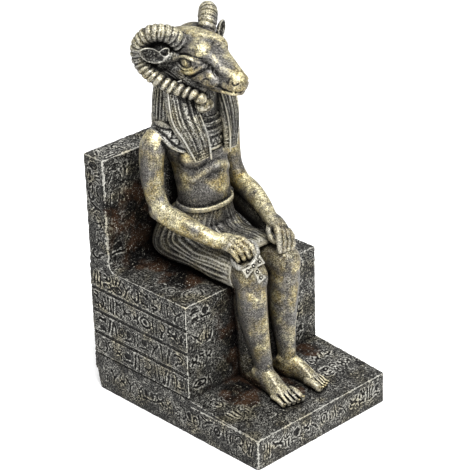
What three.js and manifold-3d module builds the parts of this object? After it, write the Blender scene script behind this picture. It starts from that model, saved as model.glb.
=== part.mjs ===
// A seated ram-headed god on a block throne with a high back slab and a stepped base, cast in one piece.
// Millimetres, +Z up. The figure faces -Y and its right side is -X. The origin is the centre of the underside.
import * as THREE from 'three';
import { mergeVertices } from 'three/addons/utils/BufferGeometryUtils.js';
import Module from 'manifold-3d';

const wasm = await Module();
wasm.setup();

// Throne and base
const WIDTH = 102.5;
const DEPTH = 134.7;
const SLAB_TOP = 150;
const SLAB_THICKNESS = 16.7;
const SEAT_TOP = 81.4;
const SEAT_DEPTH = 63.6;
const BASE_TOP_BACK = 22.8;
const BASE_TOP_FRONT = 18.8;
const BACK_BEVEL_HEIGHT = 14;
const BACK_BEVEL_DEPTH = 3.4;
const SEAT_FILLET = 5;
const CARVED_ROWS = 4;
const LINE_WIDTH = 1;
const LINE_DEPTH = 0.8;
const STROKE_DEPTH = 0.9;

const HALF_WIDTH = WIDTH / 2;
const BACK_Y = DEPTH / 2;
const FRONT_Y = -DEPTH / 2;
const SLAB_FRONT_Y = BACK_Y - SLAB_THICKNESS;
const THRONE_FRONT_Y = SLAB_FRONT_Y - SEAT_DEPTH;
const ROW_HEIGHT = (SEAT_TOP - BASE_TOP_BACK) / CARVED_ROWS;

// Figure
const SHOULDER_Z = 157;
const BELT_Z = 116.5;
const BELT_HEIGHT = 4.6;
const KNEE = [13, -25.5, 91.5];
const ANKLE = [9.5, -30, 36];
const ELBOW = [30.2, 26.5, 119.5];
const WRIST = [20.2, -10, 108.4];
const PLEATS = 15;
const PLEAT_DEPTH = 0.8;
const WIG_STRIPES = 14;
const STRIPE_DEPTH = 0.8;
const HORN_RIDGES = 15;
const HORN_RIDGE_DEPTH = 0.5;

const Z_AXIS = new THREE.Vector3(0, 0, 1);
const X_AXIS = new THREE.Vector3(1, 0, 0);
const Y_AXIS = new THREE.Vector3(0, 1, 0);

// Solids from geometry

function solidOf(geometry) {
  const bare = geometry.clone();
  bare.deleteAttribute('normal');
  bare.deleteAttribute('uv');
  const merged = mergeVertices(bare, 1e-4);
  return new wasm.Manifold(new wasm.Mesh({
    numProp: 3,
    vertProperties: Float32Array.from(merged.attributes.position.array),
    triVerts: Uint32Array.from(merged.index.array),
  }));
}

function joined(solids) {
  return solids.reduce((whole, solid) => whole.add(solid));
}

function vector(list) {
  return new THREE.Vector3(...list);
}

function mirrored(geometry) {
  const copy = geometry.clone();
  copy.scale(-1, 1, 1);
  const order = copy.index.array;
  for (let i = 0; i < order.length; i += 3) {
    const first = order[i];
    order[i] = order[i + 1];
    order[i + 1] = first;
  }
  return copy;
}

function bothSides(geometry) {
  return solidOf(geometry).add(solidOf(mirrored(geometry)));
}

// Closed skin through rings of the same number of points, with a fan over each end
function loft(rings) {
  const sides = rings[0].length;
  const points = rings.flat();
  const middle = (ring) => ring.reduce((sum, p) => sum.add(p), new THREE.Vector3()).divideScalar(sides);
  points.push(middle(rings[0]), middle(rings[rings.length - 1]));
  const faces = [];
  for (let r = 0; r + 1 < rings.length; r += 1) {
    for (let s = 0; s < sides; s += 1) {
      const here = r * sides + s;
      const beside = r * sides + (s + 1) % sides;
      faces.push(here, beside, here + sides, beside, beside + sides, here + sides);
    }
  }
  const last = (rings.length - 1) * sides;
  for (let s = 0; s < sides; s += 1) {
    const next = (s + 1) % sides;
    faces.push(rings.length * sides, next, s);
    faces.push(rings.length * sides + 1, last + s, last + next);
  }
  const geometry = new THREE.BufferGeometry();
  geometry.setAttribute('position', new THREE.Float32BufferAttribute(points.flatMap((p) => p.toArray()), 3));
  geometry.setIndex(faces);
  return geometry;
}

// One ring, a rounded oblong of half sizes across and deep
function ringAt({ at, side, deep, across, depth, power = 2, sides, ripple = () => 0 }) {
  const ring = [];
  for (let s = 0; s < sides; s += 1) {
    const angle = (s / sides) * 2 * Math.PI;
    const round = (value) => Math.sign(value) * Math.abs(value) ** (2 / power);
    const out = new THREE.Vector3()
      .addScaledVector(side, across * round(Math.cos(angle)))
      .addScaledVector(deep, depth * round(Math.sin(angle)));
    const length = out.length();
    ring.push(out.multiplyScalar((length + ripple(s, angle)) / length).add(at));
  }
  return ring;
}

// A limb: rings set square to a smooth line through the keys, with rounded ends where asked
function sweep({ keys, steps, sides, hint = X_AXIS, domes = [1, 1], ripple = () => 0 }) {
  const line = new THREE.CatmullRomCurve3(keys.map((key) => vector(key.at)), false, 'catmullrom', 0.5);
  const shape = new THREE.CatmullRomCurve3(
    keys.map((key) => new THREE.Vector3(key.across, key.depth, key.power ?? 2)), false, 'catmullrom', 0.5,
  );
  const rings = [];
  const place = (t, shift, scale) => {
    const along = line.getTangent(t).normalize();
    const side = hint.clone().addScaledVector(along, -hint.dot(along)).normalize();
    const deep = along.clone().cross(side);
    const size = shape.getPoint(t);
    rings.push(ringAt({
      at: line.getPoint(t).addScaledVector(along, shift * Math.min(size.x, size.y)),
      side,
      deep,
      across: size.x * scale,
      depth: size.y * scale,
      power: size.z,
      sides,
      ripple: (s, angle) => ripple(s, angle, t) * scale,
    }));
  };
  for (let d = domes[0]; d > 0; d -= 1) {
    const turn = (d / (domes[0] + 1)) * (Math.PI / 2);
    place(0, -Math.sin(turn), Math.cos(turn));
  }
  for (let i = 0; i <= steps; i += 1) {
    place(i / steps, 0, 1);
  }
  for (let d = 1; d <= domes[1]; d += 1) {
    const turn = (d / (domes[1] + 1)) * (Math.PI / 2);
    place(1, Math.sin(turn), Math.cos(turn));
  }
  return loft(rings);
}

function pebble(at, size, around = 12, up = 8) {
  return new THREE.SphereGeometry(1, around, up).scale(...size).translate(...at);
}

function block(size, at, turn = [0, 0, 0]) {
  const geometry = new THREE.BoxGeometry(...size);
  geometry.rotateX(turn[0]);
  geometry.rotateY(turn[1]);
  geometry.rotateZ(turn[2]);
  return geometry.translate(...at);
}

// Throne, slab and base: one outline seen from the side, drawn straight through the width
function throneBlock() {
  const outline = new THREE.Shape();
  outline.moveTo(FRONT_Y, 0);
  outline.lineTo(BACK_Y - BACK_BEVEL_DEPTH, 0);
  outline.lineTo(BACK_Y, BACK_BEVEL_HEIGHT);
  outline.lineTo(BACK_Y, SLAB_TOP);
  outline.lineTo(SLAB_FRONT_Y, SLAB_TOP);
  outline.lineTo(SLAB_FRONT_Y, SEAT_TOP + SEAT_FILLET);
  outline.absarc(SLAB_FRONT_Y - SEAT_FILLET, SEAT_TOP + SEAT_FILLET, SEAT_FILLET, 0, -Math.PI / 2, true);
  outline.lineTo(THRONE_FRONT_Y, SEAT_TOP);
  outline.lineTo(THRONE_FRONT_Y, BASE_TOP_BACK);
  outline.lineTo(FRONT_Y, BASE_TOP_FRONT);
  outline.closePath();
  const geometry = new THREE.ExtrudeGeometry(outline, { depth: WIDTH, bevelEnabled: false, curveSegments: 4 });
  // The outline's own x runs along Y and its y along Z
  geometry.rotateX(Math.PI / 2);
  geometry.rotateZ(Math.PI / 2);
  geometry.translate(-HALF_WIDTH, 0, 0);
  return solidOf(geometry);
}

// Carved strokes, which are plain marks and no letters. Each is drawn upright in a square of side 1.

function barMark(width, height) {
  const shape = new THREE.Shape();
  shape.moveTo(-width / 2, -height / 2);
  shape.lineTo(width / 2, -height / 2);
  shape.lineTo(width / 2, height / 2);
  shape.lineTo(-width / 2, height / 2);
  shape.closePath();
  return shape;
}

function wedgeMark() {
  const shape = new THREE.Shape();
  shape.moveTo(-0.34, -0.36);
  shape.lineTo(0.34, -0.36);
  shape.lineTo(0, 0.36);
  shape.closePath();
  return shape;
}

function roundMark() {
  const shape = new THREE.Shape();
  shape.absarc(0, 0, 0.32, 0, Math.PI * 2, false);
  return shape;
}

function bowlMark() {
  const shape = new THREE.Shape();
  shape.moveTo(-0.38, 0.16);
  shape.absarc(0, 0.16, 0.38, Math.PI, Math.PI * 2, false);
  shape.closePath();
  return shape;
}

const MARKS = [barMark(0.22, 0.8), wedgeMark(), barMark(0.8, 0.2), roundMark(), bowlMark(), barMark(0.2, 0.7)];

// A cutter for one mark on a face: `across` and `up` are the face's own directions
function markCutter({ mark, at, across, up, size }) {
  const out = across.clone().cross(up);
  const geometry = new THREE.ExtrudeGeometry(MARKS[mark % MARKS.length], {
    depth: 2 * STROKE_DEPTH,
    bevelEnabled: false,
    curveSegments: 2,
  });
  geometry.translate(0, 0, -STROKE_DEPTH);
  geometry.scale(size, size, 1);
  geometry.applyMatrix4(new THREE.Matrix4().makeBasis(across, up, out));
  return solidOf(geometry.translate(...at.toArray()));
}

// A row of marks from one end of a face to the other, each in its own cell
function markRow({ start, across, up, length, count, size, seed }) {
  const cutters = [];
  for (let i = 0; i < count; i += 1) {
    const at = start.clone().addScaledVector(across, (length * (i + 0.5)) / count);
    cutters.push(markCutter({ mark: seed + i * 5 + ((i * i) % 3), at, across, up, size }));
  }
  return cutters;
}

function carvedSide(sign) {
  const cutters = [];
  const x = sign * HALF_WIDTH;
  const across = new THREE.Vector3(0, sign, 0);
  const startY = (from, to) => (sign > 0 ? from : to);
  const margin = 3;
  for (let row = 0; row < CARVED_ROWS; row += 1) {
    const z = BASE_TOP_BACK + ROW_HEIGHT * row;
    cutters.push(solidOf(block([2 * LINE_DEPTH, BACK_Y - THRONE_FRONT_Y + 2, LINE_WIDTH],
      [x, (BACK_Y + THRONE_FRONT_Y) / 2, z])));
    cutters.push(...markRow({
      start: new THREE.Vector3(x, startY(THRONE_FRONT_Y + margin, BACK_Y - margin), z + ROW_HEIGHT / 2),
      across,
      up: Z_AXIS,
      length: BACK_Y - THRONE_FRONT_Y - 2 * margin,
      count: 6,
      size: ROW_HEIGHT * 0.8,
      seed: row * 2 + (sign > 0 ? 1 : 0),
    }));
  }
  cutters.push(...markRow({
    start: new THREE.Vector3(x, startY(FRONT_Y + margin, BACK_Y - 2 * margin), BASE_TOP_FRONT / 2),
    across,
    up: Z_AXIS,
    length: DEPTH - 3 * margin,
    count: 8,
    size: 10,
    seed: 3,
  }));
  cutters.push(...markRow({
    start: new THREE.Vector3(x, (SLAB_FRONT_Y + BACK_Y) / 2, SEAT_TOP + margin),
    across: Z_AXIS,
    up: new THREE.Vector3(0, -sign, 0),
    length: SLAB_TOP - SEAT_TOP - 2 * margin,
    count: 5,
    size: 11,
    seed: 4,
  }));
  return cutters;
}

function carvedFronts() {
  const cutters = [];
  const sideLength = 26;
  const faces = [
    { y: SLAB_FRONT_Y, rows: [112, 134], count: 2, size: 12 },
    { y: THRONE_FRONT_Y, rows: [31, 45, 59, 73], count: 2, size: 11 },
  ];
  for (const { y, rows, count, size } of faces) {
    rows.forEach((z, row) => {
      for (const x of [-HALF_WIDTH + 3, HALF_WIDTH - 3 - sideLength]) {
        const start = new THREE.Vector3(x, y, z);
        cutters.push(...markRow({ start, across: X_AXIS, up: Z_AXIS, length: sideLength, count, size, seed: row }));
      }
    });
  }
  cutters.push(...markRow({
    start: new THREE.Vector3(-HALF_WIDTH + 3, FRONT_Y, BASE_TOP_FRONT / 2),
    across: X_AXIS,
    up: Z_AXIS,
    length: WIDTH - 6,
    count: 8,
    size: 10,
    seed: 1,
  }));
  return cutters;
}

// Body

// Waist, ribs, chest and shoulders, in level rings from the seat to the neck
function torso() {
  return solidOf(sweep({
    keys: [
      { at: [0, 24, 106], across: 16.6, depth: 12.4, power: 2.3 },
      { at: [0, 24, 121], across: 16.6, depth: 12.2, power: 2.3 },
      { at: [0, 25.5, 133], across: 16.8, depth: 12.8, power: 2.3 },
      { at: [0, 28.5, 146], across: 20.4, depth: 15, power: 2.4 },
      { at: [0, 32, 157], across: 28.5, depth: 14.6, power: 2.3 },
      { at: [0, 34, 167], across: 25, depth: 11, power: 2 },
      { at: [0, 33, 175], across: 12, depth: 11, power: 2 },
    ],
    steps: 6,
    sides: 14,
    domes: [0, 0],
  }));
}

// The middle of the back is joined to the slab
function backWeb() {
  return solidOf(block([24, 20, 86], [0, SLAB_FRONT_Y - 8, SEAT_TOP + 32]));
}

function breasts() {
  return bothSides(pebble([9.5, 18.6, 146], [10, 4, 8], 8, 4));
}

function arms() {
  const upper = sweep({
    keys: [
      { at: [27.4, 34.4, SHOULDER_Z + 5], across: 7.4, depth: 8 },
      { at: [29.6, 34.6, SHOULDER_Z - 5], across: 8.2, depth: 8.8 },
      { at: [30.4, 34, SHOULDER_Z - 17], across: 7.4, depth: 8 },
      { at: [30.4, 31, SHOULDER_Z - 29], across: 6.8, depth: 7.4 },
      { at: ELBOW, across: 6.6, depth: 7 },
    ],
    steps: 4,
    sides: 9,
    domes: [1, 1],
  });
  const fore = sweep({
    keys: [
      { at: [ELBOW[0], ELBOW[1] + 1, ELBOW[2] - 0.5], across: 6.4, depth: 6.6 },
      { at: [28, 14, 115.4], across: 6.4, depth: 6.6 },
      { at: [24.6, 2.2, 112.2], across: 5.4, depth: 5.4 },
      { at: WRIST, across: 4.6, depth: 4 },
    ],
    steps: 3,
    sides: 9,
    domes: [1, 0],
  });
  return [bothSides(upper), bothSides(fore)];
}

// One finger through three joints
function finger(from, middle, tip, radius) {
  return sweep({
    keys: [from, middle, tip].map((at, i) => ({ at, across: radius * (1 - 0.1 * i), depth: radius * (1 - 0.1 * i) })),
    steps: 2,
    sides: 5,
    domes: [0, 1],
  });
}

// Four fingers side by side, from the first knuckle line to the last, bent once and ended at the tip line
function fingers({ knuckles, bends, tips, radius }) {
  const between = (pair, t) => vector(pair[0]).lerp(vector(pair[1]), t).toArray();
  const row = [];
  for (let i = 0; i < 4; i += 1) {
    const t = i / 3;
    row.push(solidOf(finger(between(knuckles, t), between(bends, t), between(tips, t), radius - 0.1 * i)));
  }
  return row;
}

// The right hand is closed round the loop of the ankh and rests on the thigh
function rightHand() {
  const palm = sweep({
    keys: [
      { at: [-WRIST[0], WRIST[1], WRIST[2]], across: 4.8, depth: 4 },
      { at: [-18.4, -15, 108.4], across: 6.6, depth: 4.4 },
      { at: [-17.4, -19.5, 107.6], across: 7.4, depth: 4 },
    ],
    steps: 2,
    sides: 8,
    hint: new THREE.Vector3(1, 0, 0.3),
  });
  return [
    solidOf(palm),
    ...fingers({
      knuckles: [[-11.6, -18, 109.6], [-22.6, -19, 106.6]],
      bends: [[-11.6, -27, 106.8], [-20.8, -26.5, 103.4]],
      tips: [[-12, -28.5, 101.5], [-20.4, -27, 99.5]],
      radius: 2.2,
    }),
    solidOf(finger([-11.4, -13, 106.6], [-8.4, -20, 105], [-9.4, -26.5, 103.2], 2.3)),
  ];
}

// The left hand lies over the knee, its fingers spread down over the front of it
function leftHand() {
  const palm = sweep({
    keys: [
      { at: WRIST, across: 4.8, depth: 4 },
      { at: [19.4, -15, 107.6], across: 6.8, depth: 4.2 },
      { at: [18.6, -21, 105.4], across: 7.4, depth: 3.8 },
    ],
    steps: 2,
    sides: 8,
    hint: new THREE.Vector3(1, -0.5, -0.3),
  });
  return [
    solidOf(palm),
    ...fingers({
      knuckles: [[14.6, -18.6, 107.8], [22.4, -24.6, 103]],
      bends: [[9.8, -26, 104.6], [18.4, -32.4, 100.4]],
      tips: [[7.4, -29, 98], [14.6, -35, 94.6]],
      radius: 2.2,
    }),
    solidOf(finger([13.4, -13, 107], [8.6, -17.6, 106.2], [9.4, -24, 104.8], 2.2)),
  ];
}

// Kilt: rings that turn from level at the belt to upright at the hem, with pleats along it
function kilt() {
  const turnOf = (degrees) => (degrees * Math.PI) / 180;
  const stations = [
    { y: 23, z: BELT_Z, turn: 0, across: 17, depth: 12.6, power: 2.3 },
    { y: 28.6, z: 104, turn: 10, across: 20, depth: 20.4, power: 2.4 },
    { y: 28.4, z: 93, turn: 32, across: 21.6, depth: 24, power: 2.5 },
    { y: 12, z: 91.5, turn: 66, across: 23.6, depth: 13.6, power: 2.8 },
    { y: -4, z: 91, turn: 86, across: 23, depth: 12.2, power: 3 },
    { y: -18.4, z: 90.8, turn: 91, across: 21.4, depth: 11, power: 3 },
  ];
  const rings = stations.map(({ y, z, turn, across, depth, power }, i) => ringAt({
    at: new THREE.Vector3(0, y, z),
    side: X_AXIS,
    deep: new THREE.Vector3(0, Math.cos(turnOf(turn)), -Math.sin(turnOf(turn))),
    across,
    depth,
    power,
    sides: 2 * PLEATS,
    ripple: (s) => (i === 0 ? 0 : (s % 2 ? PLEAT_DEPTH / 2 : -PLEAT_DEPTH / 2)),
  }));
  return solidOf(loft(rings.reverse()));
}

function belt() {
  const ring = (z, grow) => ringAt({
    at: new THREE.Vector3(0, 23, z),
    side: X_AXIS,
    deep: Y_AXIS,
    across: 17.4 + grow,
    depth: 13 + grow,
    power: 2.3,
    sides: 18,
  });
  const top = BELT_Z + BELT_HEIGHT / 2;
  const bottom = BELT_Z - BELT_HEIGHT / 2;
  return solidOf(loft([ring(bottom, 0), ring(bottom + 0.7, 0.8), ring(top - 0.7, 0.8), ring(top, 0)]));
}

// Legs, bare from the hem down, joined to the throne by a web behind each calf
function legs() {
  const thigh = sweep({
    keys: [
      { at: [12, -4, 91], across: 9.4, depth: 9.4 },
      { at: [KNEE[0] - 0.4, -16, 91], across: 9, depth: 9.4 },
      { at: KNEE, across: 8.8, depth: 9 },
    ],
    steps: 2,
    sides: 10,
    domes: [0, 1],
  });
  const shin = sweep({
    keys: [
      { at: [KNEE[0], KNEE[1] - 0.5, 92], across: 8.5, depth: 8.4 },
      { at: [KNEE[0], -26, 80], across: 8.3, depth: 8.8 },
      { at: [11.8, -25.6, 66], across: 7.8, depth: 8.8 },
      { at: [10.4, -27.6, 50], across: 6.2, depth: 7 },
      { at: ANKLE, across: 4.9, depth: 5.6 },
      { at: [ANKLE[0], ANKLE[1], 24], across: 5, depth: 6.6 },
    ],
    steps: 5,
    sides: 9,
    domes: [1, 0],
  });
  const web = sweep({
    keys: [
      { at: [12, -16, 84], across: 4.6, depth: 5 },
      { at: [11, -17, 56], across: 3.8, depth: 6.6 },
      { at: [9.6, -18, 22], across: 3.2, depth: 7.4 },
    ],
    steps: 2,
    sides: 5,
    domes: [0, 0],
  });
  return [bothSides(thigh), bothSides(shin), bothSides(web)];
}

function feet() {
  const arch = sweep({
    keys: [
      { at: [ANKLE[0], -22.5, 25.5], across: 4.6, depth: 5 },
      { at: [10, -33, 27.4], across: 5.6, depth: 7 },
      { at: [11.3, -43, 24.4], across: 6.4, depth: 5 },
      { at: [11.9, -50, 22.6], across: 7.4, depth: 3.6 },
    ],
    steps: 3,
    sides: 8,
  });
  const parts = [bothSides(arch)];
  for (let i = 0; i < 5; i += 1) {
    const x = 5.9 + i * 3.15;
    const back = [0, 0.2, 0.7, 1.5, 2.6][i];
    const radius = [2.5, 1.9, 1.8, 1.75, 1.7][i];
    const low = 20 + radius;
    parts.push(bothSides(finger([x, -47.5 + back, low + 1.6], [x + 0.2, -53 + back, low + 1],
      [x + 0.4, -56.4 + back, low - 0.4], radius)));
  }
  return parts;
}

// Ankh: an arched loop under the fingers, two arms and a stem that hang over the knee
function ankh() {
  const thickness = 2.2;
  const outline = new THREE.Shape();
  outline.moveTo(-1.6, 0);
  outline.lineTo(-2.9, -9.4);
  outline.lineTo(2.9, -9.4);
  outline.lineTo(1.6, 0);
  outline.closePath();
  const stem = new THREE.ExtrudeGeometry(outline, { depth: thickness, bevelEnabled: false });
  stem.translate(0, 0, -thickness / 2);
  const bar = stem.clone().scale(1, 0.84, 1).rotateZ(Math.PI / 2).translate(-0.6, 0, 0);
  const otherBar = stem.clone().scale(1, 0.84, 1).rotateZ(-Math.PI / 2).translate(0.6, 0, 0);
  const loop = new THREE.TorusGeometry(4.8, 1.3, 4, 10);
  loop.scale(1, 1.3, 0.9).translate(0, 6.4, 0).rotateX(-0.5);
  const across = new THREE.Vector3(0.96, 0, 0.27).normalize();
  const up = new THREE.Vector3(-0.24, 0.5, 0.83);
  up.addScaledVector(across, -up.dot(across)).normalize();
  const place = new THREE.Matrix4().makeBasis(across, up, across.clone().cross(up)).setPosition(-15.6, -31.4, 100.2);
  return joined([stem, bar, otherBar, loop].map((piece) => solidOf(piece.applyMatrix4(place))));
}

// Wig: a striped cloth behind the head and over the shoulders, with two lappets over the chest

function wig() {
  return solidOf(sweep({
    keys: [
      { at: [0, 38.8, 155], across: 21, depth: 12.4, power: 2.4 },
      { at: [0, 37.4, 171], across: 21.6, depth: 14.6, power: 2.3 },
      { at: [0, 37.2, 186], across: 19, depth: 14, power: 2.2 },
      { at: [0, 38, 208], across: 13, depth: 9.6, power: 2 },
    ],
    steps: 3,
    sides: 2 * WIG_STRIPES,
    domes: [0, 1],
    ripple: (s) => (s % 2 ? STRIPE_DEPTH / 2 : -STRIPE_DEPTH / 2),
  }));
}

function lappets() {
  const keys = [
    { at: [13.6, 29, 192], across: 7.4, depth: 5 },
    { at: [15.4, 21, 174], across: 9, depth: 3.8 },
    { at: [13.2, 15.4, 162], across: 7.6, depth: 2.8 },
    { at: [10.6, 13.4, 150.5], across: 5.4, depth: 2 },
  ];
  return bothSides(sweep({
    keys: keys.map((key) => ({ ...key, power: 3 })),
    steps: 3,
    sides: 14,
    hint: new THREE.Vector3(1, 0.45, 0),
    domes: [0, 0],
    ripple: (s) => (s % 2 ? 0.35 : -0.35),
  }));
}

// Broad collar: rings of decreasing height over the chest and shoulders
function collar() {
  const levels = [
    { z: 153.6, y: 31, across: 27.4, depth: 17.6 },
    { z: 155, y: 31, across: 28.4, depth: 18.8 },
    { z: 164, y: 32, across: 28, depth: 19 },
    { z: 170.5, y: 32.6, across: 19, depth: 18.6 },
    { z: 172.5, y: 32, across: 14, depth: 16.4 },
  ];
  return solidOf(loft(levels.map(({ z, y, across, depth }) => ringAt({
    at: new THREE.Vector3(0, y, z),
    side: X_AXIS,
    deep: Y_AXIS,
    across,
    depth,
    power: 2.3,
    sides: 20,
  }))));
}

// Head

function skull() {
  return solidOf(sweep({
    keys: [
      { at: [0, 40, 207], across: 10.5, depth: 11, power: 2.1 },
      { at: [0, 31, 208], across: 13, depth: 13.4, power: 2.1 },
      { at: [0, 20, 206], across: 12.4, depth: 12.4, power: 2.2 },
      { at: [0, 9, 202], across: 8.8, depth: 10, power: 2.3 },
      { at: [0, 0, 198.4], across: 6.6, depth: 8, power: 2.3 },
      { at: [0, -7, 196.2], across: 5.4, depth: 6.2, power: 2.3 },
    ],
    steps: 6,
    sides: 12,
    domes: [1, 2],
  }));
}

function jaw() {
  return solidOf(sweep({
    keys: [
      { at: [0, 25, 197], across: 11.4, depth: 12, power: 2.2 },
      { at: [0, 12, 195], across: 8.4, depth: 8.4, power: 2.2 },
      { at: [0, 0.6, 191.8], across: 5.4, depth: 4.2, power: 2.2 },
    ],
    steps: 3,
    sides: 12,
    domes: [1, 1],
  }));
}

function neck() {
  return solidOf(sweep({
    keys: [
      { at: [0, 27.6, 168], across: 11, depth: 12.4 },
      { at: [0, 27, 180], across: 10.6, depth: 11.6 },
      { at: [0, 29, 196], across: 11, depth: 12 },
    ],
    steps: 3,
    sides: 14,
    domes: [0, 0],
  }));
}

function mouthSlit() {
  return solidOf(block([24, 11, 1.1], [0, -5.6, 192.4], [-0.16, 0, 0]));
}

function eyes() {
  const lid = pebble([10.6, 21.6, 206], [2.8, 6.2, 3.2], 8, 4);
  const brow = pebble([7, 19.4, 211.4], [5.4, 8, 4.2], 8, 4);
  return [bothSides(lid), bothSides(brow)];
}

// One horn: out of the forehead, back and down round the ear and forward under the jaw
function horn() {
  const centres = [
    [9.5, 28, 215], [13.2, 32.2, 218.4], [18, 38, 219.4], [22.6, 43.6, 215.6], [25.2, 46, 209.8], [26.6, 43.4, 204],
    [26.8, 36.6, 199.8], [25.2, 29.4, 195.6], [21.6, 24, 192], [17.8, 18.6, 190], [14.5, 13.4, 188.8],
    [12.5, 9.5, 186.8],
  ];
  const thick = 5.8;
  const thin = 1.9;
  return sweep({
    keys: centres.map((at, i) => {
      const radius = thick + (thin - thick) * (i / (centres.length - 1)) ** 1.15;
      return { at, across: radius, depth: radius };
    }),
    steps: 2 * HORN_RIDGES,
    sides: 7,
    hint: new THREE.Vector3(0.9, 0.4, 0),
    domes: [0, 1],
    ripple: (s, angle, t) => (Math.round(t * 2 * HORN_RIDGES) % 2 ? HORN_RIDGE_DEPTH : -HORN_RIDGE_DEPTH),
  });
}

// Leaf-shaped ear with a hollow open to the front
function ear() {
  const root = [13.5, 29.5, 206.4];
  const tip = [32, 37.2, 213.8];
  const along = (t) => vector(root).lerp(vector(tip), t);
  const leaf = ({ from, to, size, forward }) => sweep({
    keys: [0, 0.3, 0.65, 1].map((t) => {
      const { x, y, z } = along(from + (to - from) * t);
      const width = size * [0.55, 0.9, 1, 0.2][Math.round(t * 3)];
      return { at: [x, y - forward, z], across: width, depth: width * 0.6 };
    }),
    steps: 3,
    sides: 6,
    hint: Z_AXIS,
    domes: [0, 0],
  });
  const outside = leaf({ from: 0, to: 1, size: 4.2, forward: 0 });
  const hollow = leaf({ from: 0.35, to: 0.95, size: 3, forward: 2.2 });
  return bothSides(outside).subtract(bothSides(hollow));
}

function figure() {
  const head = joined([skull(), jaw(), neck(), ...eyes()]).subtract(mouthSlit());
  return joined([
    torso(), backWeb(), breasts(), ...arms(), ...rightHand(), ...leftHand(), kilt(), belt(), ...legs(), ...feet(),
    ankh(), collar(), wig(), lappets(), head, bothSides(horn()), ear(),
  ]);
}

function throne() {
  const cutters = joined([...carvedSide(-1), ...carvedSide(1), ...carvedFronts()]);
  return throneBlock().subtract(cutters);
}

// A cast resin with a dark wash and a rubbed silver and gold finish
function antiquedResin() {
  return new THREE.MeshStandardMaterial({ color: 0x8a8478, roughness: 0.45, metalness: 0.75 });
}

function meshOf(name, solid, material) {
  const { vertProperties, triVerts } = solid.getMesh();
  const geometry = new THREE.BufferGeometry();
  geometry.setAttribute('position', new THREE.BufferAttribute(Float32Array.from(vertProperties), 3));
  geometry.setIndex(new THREE.BufferAttribute(Uint32Array.from(triVerts), 1));
  geometry.computeVertexNormals();
  const mesh = new THREE.Mesh(geometry, material);
  mesh.name = name;
  return mesh;
}

const figurine = new THREE.Group();
figurine.add(meshOf('figurine', throne().add(figure()), antiquedResin()));

export default figurine;
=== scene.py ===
import functools
import itertools
import math

import bpy
import numpy as np
import openvdb as vdb
from mathutils import Matrix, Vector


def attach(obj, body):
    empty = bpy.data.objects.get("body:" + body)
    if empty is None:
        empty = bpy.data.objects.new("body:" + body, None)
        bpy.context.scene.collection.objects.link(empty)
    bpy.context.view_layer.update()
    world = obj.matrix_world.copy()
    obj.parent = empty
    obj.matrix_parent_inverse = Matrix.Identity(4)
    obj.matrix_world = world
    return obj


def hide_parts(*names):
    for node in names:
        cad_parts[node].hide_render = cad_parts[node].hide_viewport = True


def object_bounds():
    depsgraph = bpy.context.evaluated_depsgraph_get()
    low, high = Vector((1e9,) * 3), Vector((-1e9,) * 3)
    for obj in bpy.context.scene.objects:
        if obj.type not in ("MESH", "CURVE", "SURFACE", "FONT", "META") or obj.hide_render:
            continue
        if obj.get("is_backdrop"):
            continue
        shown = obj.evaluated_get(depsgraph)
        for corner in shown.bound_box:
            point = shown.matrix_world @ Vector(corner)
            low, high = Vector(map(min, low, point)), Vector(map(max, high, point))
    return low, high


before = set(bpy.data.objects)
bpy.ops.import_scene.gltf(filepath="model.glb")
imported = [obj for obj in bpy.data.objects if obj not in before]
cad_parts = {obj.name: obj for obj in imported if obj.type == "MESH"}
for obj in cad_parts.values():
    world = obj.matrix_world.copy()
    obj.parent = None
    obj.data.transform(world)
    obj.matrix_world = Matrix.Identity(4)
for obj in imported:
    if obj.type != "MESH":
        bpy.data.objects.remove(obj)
cad_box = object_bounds()

# Sizes are millimetres from the centre of the underside. The figure faces -Y, and its right side is -X.
MM = 0.001

# Throne and base, as in the part's source
WIDTH = 102.5
DEPTH = 134.7
SLAB_TOP = 150
SLAB_THICKNESS = 16.7
SEAT_TOP = 81.4
SEAT_DEPTH = 63.6
BASE_TOP_BACK = 22.8
BASE_TOP_FRONT = 18.8
BACK_BEVEL_HEIGHT = 14
BACK_BEVEL_DEPTH = 3.4
SEAT_FILLET = 5
CARVED_ROWS = 4

HALF_WIDTH = WIDTH / 2
BACK_Y = DEPTH / 2
FRONT_Y = -DEPTH / 2
SLAB_FRONT_Y = BACK_Y - SLAB_THICKNESS
THRONE_FRONT_Y = SLAB_FRONT_Y - SEAT_DEPTH
ROW_HEIGHT = (SEAT_TOP - BASE_TOP_BACK) / CARVED_ROWS

# Figure, as in the part's source
SHOULDER_Z = 157
BELT_Z = 117.9
BELT_HEIGHT = 3.0
KNEE = (13, -25.5, 91.5)
ANKLE = (9.5, -30, 36)
ELBOW = (29.8, 27, 119.5)
WRIST = (20.6, -7.4, 109.2)

# Fineness of the meshes. REACH is how many cells from a surface its distance is known.
BLOCK_STEP = 0.5
SEAT_STEP = 0.55
HEAD_CELL = 0.4
BODY_CELL = 0.5
LEGS_CELL = 0.5
ANKH_CELL = 0.28
REACH = 7
MOST_TRIANGLES = 180000


# Small tools

def ease(value, low, high):
    t = np.clip((value - low) / (high - low), 0, 1)
    return t * t * (3 - 2 * t)


def bump(value, middle, half_width):
    return np.exp(-(((value - middle) / half_width) ** 2))


def groove(phase, half_width):
    """1 where phase is a whole number, falling to 0 half_width away from it"""
    return np.exp(-(((phase - np.round(phase)) / half_width) ** 2))


def mixed(values, corner, part):
    """Values of a grid, mixed from the eight cells round each place. The grid repeats past its end."""
    total = 0
    for steps in itertools.product((0, 1), repeat=3):
        share = 1
        for axis, step in enumerate(steps):
            share = share * (part[..., axis] if step else 1 - part[..., axis])
        cell = tuple((corner[..., axis] + step) % values.shape[axis] for axis, step in enumerate(steps))
        total = total + share * values[cell]
    return total


NOISE = np.random.default_rng(11).random((64, 64, 64), dtype=np.float32) * 2 - 1


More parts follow.
